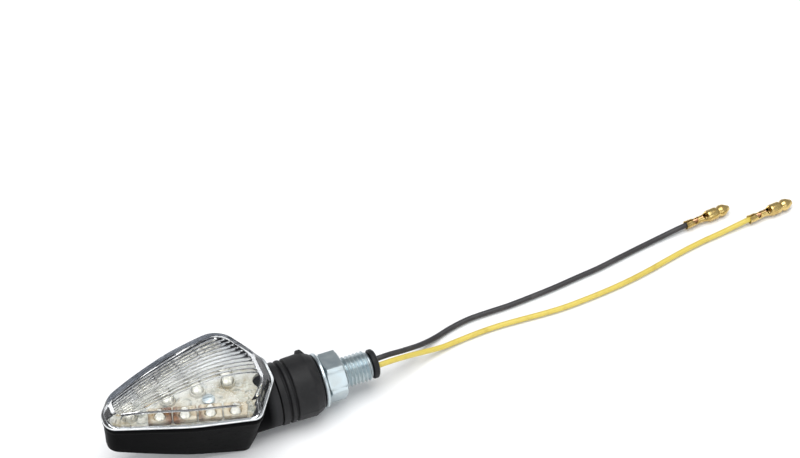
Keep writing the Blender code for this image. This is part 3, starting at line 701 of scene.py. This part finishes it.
def offset_corners(tip, side, rear, back):
    """The half outline with its tip, side, slanted rear and straight back edges moved inwards."""
    corners = [(x, y) for x, y, _ in HALF_OUTLINE]
    line = [((TIP_X, 0.0), (TIP_X, 1.0), tip)]
    for i, inset in enumerate((side, side, rear)):
        line.append((corners[i], corners[i + 1], inset))
    line.append(((REAR_X, 1.0), (REAR_X, 0.0), back))
    moved = []
    for (ax, ay), (bx, by), inset in line:
        length = hypot(bx - ax, by - ay)
        ux, uy = (bx - ax) / length, (by - ay) / length
        moved.append((ax + uy * inset, ay - ux * inset, ux, uy))
    points = []
    for (px, py, ux, uy), (qx, qy, vx, vy) in zip(moved, moved[1:]):
        t = ((qx - px) * vy - (qy - py) * vx) / (ux * vy - uy * vx)
        points.append((px + ux * t, py + uy * t))
    return points


def outline(tip, side, rear, back, soften=0.0):
    """Points round the head's outline, anticlockwise, with its rear corners softened if asked."""
    half = [(x, y, max(r - side, 0.0006) + extra) for (x, y), (_, _, r), extra in
            zip(offset_corners(tip, side, rear, back), HALF_OUTLINE, (0.0, 0.0, soften, soften))]
    corners = [(x, -y, r) for x, y, r in half] + [(x, y, r) for x, y, r in reversed(half)]
    arcs = []
    for i, (x, y, r) in enumerate(corners):
        before, after = corners[i - 1], corners[(i + 1) % len(corners)]
        a = atan2(before[1] - y, before[0] - x)
        b = atan2(after[1] - y, after[0] - x)
        half_angle = abs(remainder(b - a, tau)) / 2
        middle = a + remainder(b - a, tau) / 2
        distance = r / sin(half_angle)
        cx, cy = x + distance * cos(middle), y + distance * sin(middle)
        sweep = pi - 2 * half_angle
        start = middle + pi - sweep / 2
        angles = [start + sweep * k / CORNER_STEPS for k in range(CORNER_STEPS + 1)]
        arcs.append([(cx + r * cos(angle), cy + r * sin(angle)) for angle in angles])
    points = []
    for arc, after in zip(arcs, arcs[1:] + arcs[:1]):
        points += arc
        (ax, ay), (bx, by) = arc[-1], after[0]
        points += [(ax + (bx - ax) * k / EDGE_STEPS, ay + (by - ay) * k / EDGE_STEPS)
                   for k in range(1, EDGE_STEPS)]
    return points


def even_ring(inset, z):
    """The outline drawn in evenly, at a height."""
    return [(x, y, z) for x, y in outline(inset, inset, inset, inset)]


def band(bm, low, high):
    """Faces between two rings of vertices."""
    for i in range(len(low)):
        j = (i + 1) % len(low)
        bm.faces.new((low[i], low[j], high[j], high[i]))


def skin(bm, rows, close=False):
    """Faces between rows of points of equal length, each row a closed ring."""
    made = [[bm.verts.new(point) for point in row] for row in rows]
    for low, high in zip(made, made[1:] + (made[:1] if close else [])):
        band(bm, low, high)
    return made


def solid(bm, rows):
    """A closed body through rows, with a flat face at both ends."""
    made = skin(bm, rows)
    bm.faces.new(list(reversed(made[0])))
    bm.faces.new(made[-1])


def cap(bm, row, centre):
    """Close a ring of vertices with a fan round a point."""
    middle = bm.verts.new(centre)
    for i, vertex in enumerate(row):
        bm.faces.new((vertex, row[(i + 1) % len(row)], middle))


def smooth_route(route):
    """Evenly spaced points on a smooth curve through a route's points."""
    dense = []
    ends = [route[0]] + list(route) + [route[-1]]
    for i in range(len(route) - 1):
        p0, p1, p2, p3 = ends[i:i + 4]
        for step in range(12):
            t = step / 12
            dense.append(tuple(
                0.5 * (2 * b + (c - a) * t + (2 * a - 5 * b + 4 * c - d) * t * t
                       + (3 * b - a - 3 * c + d) * t ** 3)
                for a, b, c, d in zip(p0, p1, p2, p3)))
    dense.append(route[-1])
    travelled = [0.0]
    for a, b in zip(dense, dense[1:]):
        travelled.append(travelled[-1] + dist(a, b))
    count = max(2, round(travelled[-1] / 0.0013))
    points, k = [], 0
    for i in range(count + 1):
        target = travelled[-1] * i / count
        while k < len(dense) - 2 and travelled[k + 1] < target:
            k += 1
        share = (target - travelled[k]) / (travelled[k + 1] - travelled[k])
        points.append(tuple(a + (b - a) * share for a, b in zip(dense[k], dense[k + 1])))
    return points, travelled[-1]


# ---------------- wires and terminals
def strip(bm, sections):
    """A bent sheet through cross-sections, each a list of (x, y, z) along its mid line."""
    outer, inner = [], []
    for row in sections:
        points = [Vector(p) for p in row]
        over, under = [], []
        for i, p in enumerate(points):
            along = points[min(i + 1, len(points) - 1)] - points[max(i - 1, 0)]
            normal = Vector((0.0, -along.z, along.y)).normalized() * SHEET_THICKNESS / 2
            over.append(p + normal)
            under.append(p - normal)
        outer.append(over)
        inner.append(under)
    rings = [over + list(reversed(under)) for over, under in zip(outer, inner)]
    made = skin(bm, rings)
    for row in (made[0], list(reversed(made[-1]))):
        half = len(row) // 2
        for i in range(half - 1):
            bm.faces.new((row[i], row[-1 - i], row[-2 - i], row[i + 1]))


def channel(radius, opening, x):
    """A cross-section that wraps round the wire and leaves an opening in degrees on top."""
    angles = [radians(90 + opening / 2 + (360 - opening) * i / 22) for i in range(23)]
    return [(x, radius * cos(a), radius * sin(a)) for a in angles]


def terminal_mesh(name):
    """Bullet terminal along +X from its wire's end, stamped and rolled from sheet brass."""
    bm = bmesh.new()
    folded = ((0.00136, 40, -0.0014), (0.00128, 16, -0.0009), (0.00128, 16, 0.0004), (0.00128, 16, 0.0012))
    neck = ((0.00118, 150, 0.0019), (0.00112, 170, 0.0024), (0.00112, 150, 0.0029))
    crimp = ((0.00108, 14, 0.0034), (0.00104, 8, 0.0046), (0.00112, 60, 0.0052))
    open_tail = ((0.00122, 160, 0.006), (0.0015, 120, 0.0068), (0.00172, 60, 0.0074))
    strip(bm, [channel(*section) for section in folded + neck + crimp + open_tail])
    nose = [(0.0156, 0.00055), (0.0156, 0.00085), (0.0152, 0.00112), (0.0146, 0.00145), (0.0139, 0.00182),
            (0.0134, 0.00196), (0.0128, 0.002), (0.0123, 0.002), (0.0119, 0.00186), (0.0116, 0.00164),
            (0.0113, 0.0016), (0.011, 0.00172), (0.0107, 0.00194), (0.0103, 0.002), (0.0078, 0.002),
            (0.0073, 0.00196), (0.0071, 0.0018), (0.0073, 0.00166), (0.0103, 0.00166), (0.0112, 0.0013),
            (0.0124, 0.0016), (0.0134, 0.00155), (0.015, 0.0008)]
    absorb(bm, turned_bm(nose, 40, "X", (0.0, 0.0, 0.0)))
    return linked(name, bm, 50.0)


def strands_mesh(name):
    """Twisted bare copper strands between the insulation's end and the crimp."""
    bm = bmesh.new()
    for k in range(7):
        rows = []
        for i in range(15):
            x = 0.0004 + 0.0052 * i / 14
            a = tau * (k / 6 + 0.35 * i / 14)
            r = 0.0 if k == 6 else 0.0005
            cy, cz = r * cos(a), r * sin(a)
            rows.append([(x, cy + 0.00021 * cos(t), cz + 0.00021 * sin(t)) for t in circle(8)])
        solid(bm, rows)
    return linked(name, bm)


def wire_tube(name, route):
    """A round wire along a smooth route, and its length."""
    points, length = smooth_route(route)
    curve = bpy.data.curves.new(name, "CURVE")
    curve.dimensions = "3D"
    curve.bevel_depth = WIRE_RADIUS
    curve.bevel_resolution = 5
    curve.use_fill_caps = True
    spline = curve.splines.new("POLY")
    spline.points.add(len(points) - 1)
    for control, point in zip(spline.points, points):
        control.co = (*point, 1.0)
    spline.use_smooth = True
    return placed(name, curve), length


def make_cord(colour, route, material):
    """A wire with its terminal, laid along its route."""
    lead, length = wire_tube(f"{colour}_lead", route)
    finish_piece(lead, material, "base", [f"{colour}_wire"])

    (ax, ay, _), (bx, by, bz) = route[-2:]
    place = Matrix.Translation((bx, by, bz)) @ Matrix.Rotation(atan2(by - ay, bx - ax), 4, "Z")
    bullet = terminal_mesh(f"{colour}_bullet")
    strands = strands_mesh(f"{colour}_strands")
    for piece in (bullet, strands):
        piece.data.transform(place)
    finish_piece(bullet, BRASS, "base", [f"{colour}_terminal"])
    finish_piece(strands, COPPER, "base")


make_cord("black", BLACK_ROUTE, BLACK_PVC)
make_cord("yellow", YELLOW_ROUTE, YELLOW_PVC)


# ---------------- housing
def hull_ring(z, inset):
    """The hull's outline at a height, drawn in from under the lip down to the table."""
    share = 1 - z / LIP_Z
    width = 1 - share * (1 - BOTTOM_WIDTH)
    return [(x - share * BOTTOM_REAR_INSET * ((x - TIP_X) / (REAR_X - TIP_X)) ** 3, y * width, z)
            for x, y, _ in even_ring(inset + LIP_INSET, z)]


def hull_body(name, rings, rounding=0.0):
    """A boat-shaped body through rings, cut off below by the sloping keel."""
    bm = bmesh.new()
    solid(bm, rings)
    normal = (-sin(KEEL_ANGLE), 0.0, -cos(KEEL_ANGLE))
    cut = bmesh.ops.bisect_plane(bm, geom=bm.verts[:] + bm.edges[:] + bm.faces[:], dist=1e-7,
                                 plane_co=(HEEL_X, 0.0, rings[0][0][2]), plane_no=normal, clear_outer=True)
    rim = [edge for edge in cut["geom_cut"] if isinstance(edge, bmesh.types.BMEdge)]
    bmesh.ops.contextual_create(bm, geom=rim)
    bmesh.ops.recalc_face_normals(bm, faces=bm.faces)
    bm.normal_update()
    if rounding:
        under = [edge for edge in bm.edges if len(edge.link_faces) == 2
                 and sum(face.normal.z < -0.9 for face in edge.link_faces) == 1
                 and edge.verts[0].co.z < LIP_Z - 0.001]
        bmesh.ops.bevel(bm, geom=under, offset=rounding, segments=7, profile=0.5, affect="EDGES",
                        clamp_overlap=True)
    bmesh.ops.triangulate(bm, faces=bm.faces)
    return linked(name, bm)


def make_housing():
    """Boat-shaped shell with a flat heel, a neck for the stem and posts for the board."""
    outside = [hull_ring(z, 0.0) for z in (0.0, 0.005, 0.01, 0.015, LIP_Z - 0.0004)]
    for inset, z in ((0.0003, LIP_Z), (0.00015, LIP_Z + 0.0001), (0.00002, LIP_Z + 0.0003),
                     (0.0, RIM_Z - 0.0003), (0.0001, RIM_Z - 0.0001), (0.0003, RIM_Z)):
        outside.append(even_ring(inset, z))
    housing = hull_body("housing_shell", outside, KEEL_ROUNDING)
    inside = [hull_ring(z, HOUSING_WALL) for z in (HOUSING_WALL, 0.01, RIM_Z + 0.001)]
    boolean(housing, hull_body("hull_inside", inside))
    collar = [(COLLAR_END, 0.0), (COLLAR_END, COLLAR_RADIUS - 0.0003), (COLLAR_END - 0.0003, COLLAR_RADIUS),
              (COLLAR_START, COLLAR_RADIUS), (COLLAR_START, 0.0)]
    boolean(housing, linked("neck_body", turned_bm(collar, 96)), "UNION")
    for i, (x, y) in enumerate(POST_SPOTS):
        keel = max(0.0, (HEEL_X - x) * tan(KEEL_ANGLE))
        boolean(housing, cylinder(f"post_{i}", POST_RADIUS, keel + HOUSING_WALL / 2, BOARD_Z - GAP, 24, "Z",
                                  (x, y, 0.0)), "UNION")
    boolean(housing, cylinder("neck_bore", COLLAR_BORE, COLLAR_START - 0.001, COLLAR_END - COLLAR_WALL, 96))
    boolean(housing, cylinder("neck_hole", NECK_HOLE, COLLAR_START, COLLAR_END + 0.001, 96))
    boolean(housing, cylinder("screw_hole", SCREW_HOLE, SCREW_TIP_Z - 0.0015, BOARD_Z + 0.001, 20, "Z",
                              (*SCREW_SPOT, 0.0)))
    boolean(housing, cylinder("drain_hole", 0.0009, -0.001, HOUSING_WALL + 0.0005, 24, "Z",
                              (-0.0105, 0.0, 0.0016)))
    finish_piece(applied(housing), PLASTIC, "head", ["housing"])


make_housing()


# ---------------- lens
SIDE_STATIONS = (  # share of the height, then insets at tip, side, rear and back, and softening
    (0.0, 0.0, 0.0, 0.0, 0.0, 0.0),
    (0.15, 0.0001, 0.0, 0.0002, 0.0003, 0.0),
    (0.8, 0.0017, 0.0002, 0.0011, 0.0025, 0.0035),
    (1.0, 0.0025, 0.0006, 0.0018, 0.0033, 0.006),
)
SIDE_SHARES = (0.0, 0.08, 0.15, 0.25, 0.38, 0.5, 0.62, 0.72, 0.8, 0.88, 0.94, 0.98)


def crease_height(x):
    """Height of the lens's crease, which arches along the lens."""
    return CREASE_Z - CREASE_SINK * abs(x - CREASE_PEAK_X) ** 3


def side_insets(share):
    """How far the lens's side has drawn in at a share of its height."""
    for low, high in zip(SIDE_STATIONS, SIDE_STATIONS[1:]):
        if share <= high[0]:
            t = (share - low[0]) / (high[0] - low[0])
            return [a + (b - a) * t for a, b in zip(low[1:], high[1:])]


def lens_rows(inset):
    """Rings up the lens's side, then rings across its dome, and the dome's middle point."""
    side = []
    for share in SIDE_SHARES + (1.0,):
        tip, flank, rear, back, soften = side_insets(share)
        rounding = LENS_EDGE if share == 1.0 else 0.0
        insets = (reach + inset + rounding for reach in (tip, flank, rear, back))
        side.append([(x, y, LENS_Z + (crease_height(x) - inset - LENS_Z) * share - 0.2 * rounding)
                     for x, y in outline(*insets, soften)])
    dome = []
    for k in range(1, 24):
        share = 1 - k / 24
        dome.append([(DOME_CENTRE_X + (x - DOME_CENTRE_X) * share, y * share,
                      z + (DOME_Z - inset - z) * (1 - share ** 2)) for x, y, z in side[-1]])
    return side, dome, (DOME_CENTRE_X, 0.0, DOME_Z - inset)


def flute_place(x, y):
    """Which flute a point lies on, counted from the first one, with the share across it."""
    return (atan2(y - FAN_SPOT[1], x - FAN_SPOT[0]) - FAN_START) / FAN_STEP


def flute_depth(x, y):
    """How far the flutes stand into the lens at a point."""
    place = flute_place(x, y)
    if place <= 0.0:
        return 0.0
    pitch = hypot(x - FAN_SPOT[0], y - FAN_SPOT[1]) * FAN_STEP
    return FLUTE_HEIGHT * pitch * (1.0 - (2.0 * (place % 1.0) - 1.0) ** 2)


def flute_dome(bm, faces):
    """Split the dome's inner faces along the fan of flutes and push them into rounded ribs."""
    for face in faces:
        face.material_index = 1
    for k in range(FLUTES * FLUTE_CUTS + FLUTE_CUTS):
        angle = FAN_START + FAN_STEP * k / FLUTE_CUTS
        dome = [face for face in bm.faces if face.material_index == 1]
        edges = list({edge for face in dome for edge in face.edges})
        verts = list({vert for face in dome for vert in face.verts})
        bmesh.ops.bisect_plane(bm, geom=verts + edges + dome, dist=1e-7, plane_co=(*FAN_SPOT, 0.0),
                               plane_no=(-sin(angle), cos(angle), 0.0))
    dome = [face for face in bm.faces if face.material_index == 1]
    for vert in {vert for face in dome for vert in face.verts}:
        x, y, _ = vert.co
        place = flute_place(x, y)
        near_valley = abs(place - round(place)) < 0.01
        vert.co.z -= 0.0 if near_valley else flute_depth(x, y)
    for face in dome:
        face.material_index = 0


def make_lens():
    """Clear shell, smooth outside and ribbed inside on its far half."""
    bm = bmesh.new()
    side, dome, top = lens_rows(0.0)
    outer = skin(bm, side + dome)
    cap(bm, outer[-1], top)
    side, dome, roof = lens_rows(LENS_WALL)
    inner = skin(bm, side)
    band(bm, outer[0], inner[0])
    before = set(bm.faces)
    ring = inner[-1]
    for row in dome:
        above = [bm.verts.new(point) for point in row]
        band(bm, ring, above)
        ring = above
    cap(bm, ring, roof)
    flute_dome(bm, [face for face in bm.faces if face not in before])
    bmesh.ops.triangulate(bm, faces=[face for face in bm.faces if len(face.verts) > 4])
    finish_piece(linked("lens_shell", bm, 50.0), LENS, "head", ["lens"])


def make_weld():
    """Bead of melted plastic between housing and lens."""
    bm = bmesh.new()
    low, high = RIM_Z + 0.00005, LENS_Z - 0.00005
    middle, half = (low + high) / 2, (high - low) / 2
    skin(bm, [even_ring(0.0005 - 0.0007 * cos(a), middle + half * sin(a)) for a in circle(10)], close=True)
    finish_piece(linked("weld_bead", bm, 80.0), WELD, "head", ["lens_seal"])


make_lens()
make_weld()


# ---------------- lamp insides
LED_NODES = sorted(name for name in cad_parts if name.startswith("led_") and name != "led_board")


def make_reflector():
    """Cream plate with a notch for the leads, a bore for each diode and cups round the middle ones."""
    top = REFLECTOR_TOP
    bm = bmesh.new()
    solid(bm, [[(x, y, z) for x, y in outline(*(reach + edge for reach in REFLECTOR_INSETS))]
               for z, edge in ((REFLECTOR_Z, 0.0), (top - 0.0002, 0.0), (top, 0.0002))])
    reflector = linked("reflector_plate", bm)
    boolean(reflector, cylinder("notch", NOTCH_RADIUS, REFLECTOR_Z - 0.001, top + 0.001, 48, "Z",
                                (*NOTCH_SPOT, 0.0)))
    for i, node in enumerate(LED_NODES):
        low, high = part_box(node)
        middle = (low + high) / 2
        spot = (middle.x, middle.y, 0.0)
        if abs(middle.y) < 0.001:
            cup = turned_bm([(top + 0.001, 0.0), (top + 0.001, 0.0023), (top + 0.0002, 0.0025),
                             (top - 0.0005, 0.0027), (top - 0.0005, 0.0)], 32, "Z", spot)
            boolean(reflector, linked(f"cup_{i}", cup), "UNION")
        bore = turned_bm([(top + 0.002, 0.0), (top + 0.002, 0.00235), (top + 0.0009, 0.00205),
                          (top - 0.0006, LED_BORE), (REFLECTOR_Z - 0.001, LED_BORE),
                          (REFLECTOR_Z - 0.001, 0.0)], 32, "Z", spot)
        boolean(reflector, linked(f"bore_{i}", bore))
    finish_piece(applied(reflector), CREAM, "head", ["reflector"])


def make_rails():
    """Amber blocks that stand on the reflector round the side rows of diodes."""
    low = REFLECTOR_TOP - 0.0002
    for i, (x, y) in enumerate(SIDE_LED_SPOTS):
        before, after = SIDE_LED_SPOTS[max(i - 1, 0)], SIDE_LED_SPOTS[min(i + 1, 3)]
        turn = atan2(after[1] - before[1], after[0] - before[0])
        for side in (-1, 1):
            bm = bmesh.new()
            add_box(bm, (RAIL_LENGTH, RAIL_WIDTH, RAIL_TOP_Z - low), (x, side * y, (low + RAIL_TOP_Z) / 2),
                    side * turn)
            block = applied(bevelled(linked(f"rail_{i + 1}_{'near' if side < 0 else 'far'}", bm), 0.0005, 3))
            bore = [(RAIL_TOP_Z + 0.001, 0.0), (RAIL_TOP_Z + 0.001, 0.0024), (RAIL_TOP_Z, 0.002),
                    (RAIL_TOP_Z - 0.0007, LED_BORE), (low - 0.001, LED_BORE), (low - 0.001, 0.0)]
            boolean(block, linked("rail_bore", turned_bm(bore, 40, "Z", (x, side * y, 0.0))))
            finish_piece(applied(block), AMBER, "head")


def make_diode(node):
    """Epoxy body with the two legs and the small cup of its lead frame inside."""
    low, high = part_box(node)
    x, y = (low.x + high.x) / 2, (low.y + high.y) / 2
    foot, top = low.z, high.z
    shoulder = top - LED_RADIUS
    dome = [(shoulder + LED_RADIUS * cos(a), LED_RADIUS * sin(a))
            for a in (radians(90 * k / 10) for k in range(11))]
    dome[0] = (top, 0.0)
    body = turned_bm(dome + [(foot + 0.0009, LED_RADIUS), (foot + 0.0009, LED_FOOT_RADIUS),
                             (foot, LED_FOOT_RADIUS), (foot, 0.0)], 32, "Z", (x, y, 0.0))
    finish_piece(linked(f"{node}_epoxy", body), EPOXY, "head", [node])
    bm = bmesh.new()
    for dx, width, tip in ((-0.00035, 0.0008, shoulder - 0.0009), (0.00055, 0.0004, shoulder - 0.0006)):
        add_box(bm, (width, 0.0004, tip - foot - 0.0006), (x + dx, y, (tip + foot + 0.0006) / 2))
    cup = turned_bm([(shoulder - 0.0003, 0.00022), (shoulder - 0.0003, 0.0006), (shoulder - 0.0011, 0.00048),
                     (shoulder - 0.0011, 0.0), (shoulder - 0.0008, 0.0)], 16, "Z", (x - 0.00035, y, 0.0))
    absorb(bm, cup)
    legs = bevelled(linked(f"{node}_frame", bm), 0.00006, 2)
    finish_piece(applied(legs), SILVER, "head")


make_reflector()
make_rails()
for led in LED_NODES:
    make_diode(led)

for node, material in (("led_board", BOARD), ("board_screw", ZINC), ("resistor_1", AMBER),
                       ("resistor_2", AMBER), ("polarity_diode", PLASTIC)):
    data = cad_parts[node].data
    data.materials.clear()
    data.materials.append(material)


# ---------------- stem, stud and fasteners
def make_stem():
    """Rubber stem with flexing grooves, a moulding seam and a locating nub."""
    front = STEM_FRONT_RADIUS
    hole = STUD_RADIUS + GAP
    front_wall, rear_wall, pocket = FLANGE_START - GAP, FLANGE_END + GAP, FLANGE_RADIUS + GAP
    profile = [(STEM_END, hole), (STEM_END, STEM_END_RADIUS), (STEM_END - 0.001, STEM_END_RADIUS + 0.0006),
               (STEM_RIM_X, STEM_RADIUS), (0.0155, front + 0.00015)]
    for x in reversed(GROOVES_X):
        profile += [(x + 0.0005, front + 0.0001), (x + 0.0002, front - GROOVE_DEPTH),
                    (x - 0.0002, front - GROOVE_DEPTH), (x - 0.0005, front + 0.0001)]
    profile += [(STEM_START, front), (STEM_START, NECK_RADIUS), (CLIP_END, NECK_RADIUS),
                (CLIP_END, CLIP_RADIUS), (CLIP_START, CLIP_RADIUS), (CLIP_START, STEM_BORE),
                (front_wall, STEM_BORE), (front_wall, pocket), (rear_wall, pocket), (rear_wall, hole),
                (STEM_END, hole)]
    rounded = rounded_profile(profile, 0.00025)[:-1]

    def seam(position, radius, angle):
        """A low ridge along both sides of the moulding."""
        if radius < 0.0088 or position > STEM_END - 0.0005:
            return 0.0
        away = min(abs(remainder(angle - radians(side), tau)) for side in (188, 8))
        return 0.00013 * max(0.0, 1 - away / 0.035)

    stem = linked("stem_moulding", turned_bm(rounded, 144, wobble=seam))
    foot = ((-0.0022, 0.0015), (0.0029, 0.0013), (0.0029, -0.0013), (-0.0022, -0.0015))
    ridge = ((-0.0006, 0.0011), (0.0006, 0.0011), (0.0006, -0.0011), (-0.0006, -0.0011))
    nub = bmesh.new()
    solid(nub, [[(x, y, STEM_RADIUS - 0.0024) for x, y in foot],
                [(x, y, STEM_RADIUS + 0.0009) for x, y in ridge]])
    bmesh.ops.rotate(nub, matrix=Matrix.Rotation(NUB_ANGLE - radians(90), 3, "X"), verts=nub.verts)
    bmesh.ops.translate(nub, vec=(STEM_RIM_X, 0.0, AXIS_Z), verts=nub.verts)
    boolean(stem, applied(bevelled(linked("nub", nub), 0.0002, 3)), "UNION")
    applied(stem)
    finish_piece(stem, RUBBER, None, ["rubber_stem"])
    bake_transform(stem)


def threaded_rows(start, end, crest, root, run_out, steps=48):
    """Rings of a right-handed screw thread, whose depth fades out at both ends."""
    rows = []
    count = int((end - start) / THREAD_PITCH * 12)
    for i in range(count + 1):
        x = start + (end - start) * i / count
        fade = max(0.0, min(1.0, (end - x) / run_out, (x - start) / run_out))
        row = []
        for k, a in enumerate(circle(steps)):
            phase = ((x - start) / THREAD_PITCH - k / steps) % 1.0
            ridge = max(0.0, min(1.0, (0.5 - abs(phase - 0.5)) / 0.5 * 1.25 - 0.1))
            row.append(about_axis(x, root + (crest - root) * ridge * fade, a))
        rows.append(row)
    return rows


def plain_rings(profile, steps=48):
    """Rings for (position, radius) points about the stem's axis."""
    return [[about_axis(x, r, a) for a in circle(steps)] for x, r in profile]


def make_stud():
    """Hollow stud with a rolled right-handed thread."""
    end = THREAD_END
    edge = 0.0002
    body = plain_rings([(FLANGE_START, STUD_BORE), (FLANGE_START, FLANGE_RADIUS - edge),
                        (FLANGE_START + edge, FLANGE_RADIUS), (FLANGE_END - edge, FLANGE_RADIUS),
                        (FLANGE_END, FLANGE_RADIUS - edge), (FLANGE_END, STUD_RADIUS),
                        (THREAD_START - 0.0006, STUD_RADIUS), (THREAD_START - 0.0001, 0.0043)])
    body += threaded_rows(THREAD_START, end - 0.0005, THREAD_CREST, THREAD_ROOT, 0.0007)
    body += plain_rings([(end, 0.00385), (end, STUD_BORE + 0.0003), (end - 0.0003, STUD_BORE)])
    bm = bmesh.new()
    skin(bm, body, close=True)
    finish_piece(linked("stud_thread", bm, 50.0), ZINC, "base", ["threaded_stud"])


def make_washer():
    """Split spring washer whose cut ends stand slightly apart."""
    low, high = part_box("lock_washer")
    thickness, outer, bore = high.x - low.x - 0.0002, WASHER_RADIUS, WASHER_BORE
    section = [(0.0, bore + 0.0001), (0.0, outer - 0.0003), (0.0003, outer), (thickness - 0.0003, outer),
               (thickness, outer - 0.0003), (thickness, bore + 0.0001), (thickness - 0.0001, bore),
               (0.0001, bore)]
    bm = bmesh.new()
    rows = []
    for k in range(97):
        share = k / 96
        a = WASHER_CUT + WASHER_GAP / 2 + (tau - WASHER_GAP) * share
        lift = 0.0001 * (share - 0.5)
        rows.append([about_axis(low.x + 0.0001 + x + lift + 0.00004, r, a) for x, r in section])
    solid(bm, rows)
    finish_piece(linked("spring_washer", bm), ZINC, "washer", ["lock_washer"])


def make_nut():
    """Hexagon nut, chamfered on both faces, with a thread in its bore."""
    low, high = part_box("hex_nut")
    corner = NUT_FLATS / 2 / cos(radians(30))
    face = NUT_FLATS / 2 - 0.0002
    steps = 120

    def hex_radius(a, limit):
        within = remainder(a - NUT_TURN, radians(60))
        return min(NUT_FLATS / 2 / cos(radians(30) - abs(within)), limit)

    chamfer = [(0.0, face - 0.0001), (0.00005, face), (0.0003, face + 0.0005), (0.0006, corner + 0.0001)]
    stations = [(low.x + depth, limit) for depth, limit in chamfer]
    stations += [(high.x - depth, limit) for depth, limit in reversed(chamfer)]
    rows = [[about_axis(x, hex_radius(a, limit), a) for a in circle(steps)] for x, limit in stations]
    rows += plain_rings([(high.x, 0.00545), (high.x - 0.0005, 0.00508)], steps)
    rows += reversed(threaded_rows(low.x + 0.0006, high.x - 0.0006, NUT_CREST, NUT_ROOT, 0.0005, steps))
    rows += plain_rings([(low.x + 0.0005, 0.00508), (low.x, 0.00545)], steps)
    bm = bmesh.new()
    skin(bm, rows, close=True)
    finish_piece(linked("chamfered_nut", bm, 30.0), ZINC, "nut", ["hex_nut"])


def make_grommet():
    """Rubber plug in the stud's end that the two wires come out of."""
    low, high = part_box("end_grommet")
    head = THREAD_END + GAP
    profile = [(high.x, 0.0), (high.x - 0.00005, 0.0024), (high.x - 0.0003, GROMMET_RADIUS - 0.0008),
               (high.x - 0.0009, GROMMET_RADIUS), (head, GROMMET_RADIUS), (head, 0.0027), (low.x, 0.0026),
               (low.x, 0.0)]
    grommet = linked("wire_grommet", turned_bm(rounded_profile(profile, 0.0003), 64))
    for side in (-1, 1):
        boolean(grommet, cylinder(f"hole_{side}", WIRE_HOLE, low.x - 0.001, high.x + 0.001, 32, "X",
                                  (0.0, side * WIRE_OFFSET, AXIS_Z)))
    finish_piece(applied(grommet), RUBBER, "base", ["end_grommet"])


def make_inner_lead(colour, side, material):
    """The stretch of a wire from the grommet to the board, along its inner route."""
    tube, _ = wire_tube(f"{colour}_tube", [(x, side * y, z) for x, y, z in INNER_ROUTE])
    lead = placed(f"{colour}_inner_wire", evaluated_mesh(tube))
    bpy.data.objects.remove(tube)
    finish_piece(lead, material, None, [f"{colour}_lead_inner"])
    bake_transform(lead)


make_stem()
make_stud()
make_washer()
make_nut()
make_grommet()
make_inner_lead("black", 1, BLACK_PVC)
make_inner_lead("yellow", -1, YELLOW_PVC)

# ---------------- floor
floor_mesh = bpy.data.meshes.new("floor")
corners = [(3, 3), (-3, 3), (-3, -3), (3, -3)]
floor_mesh.from_pydata([(x, y, -0.0002) for x, y in corners], [], [(0, 1, 2, 3)])
floor = placed("floor", floor_mesh)
floor_mesh.materials.append(floor_paper())
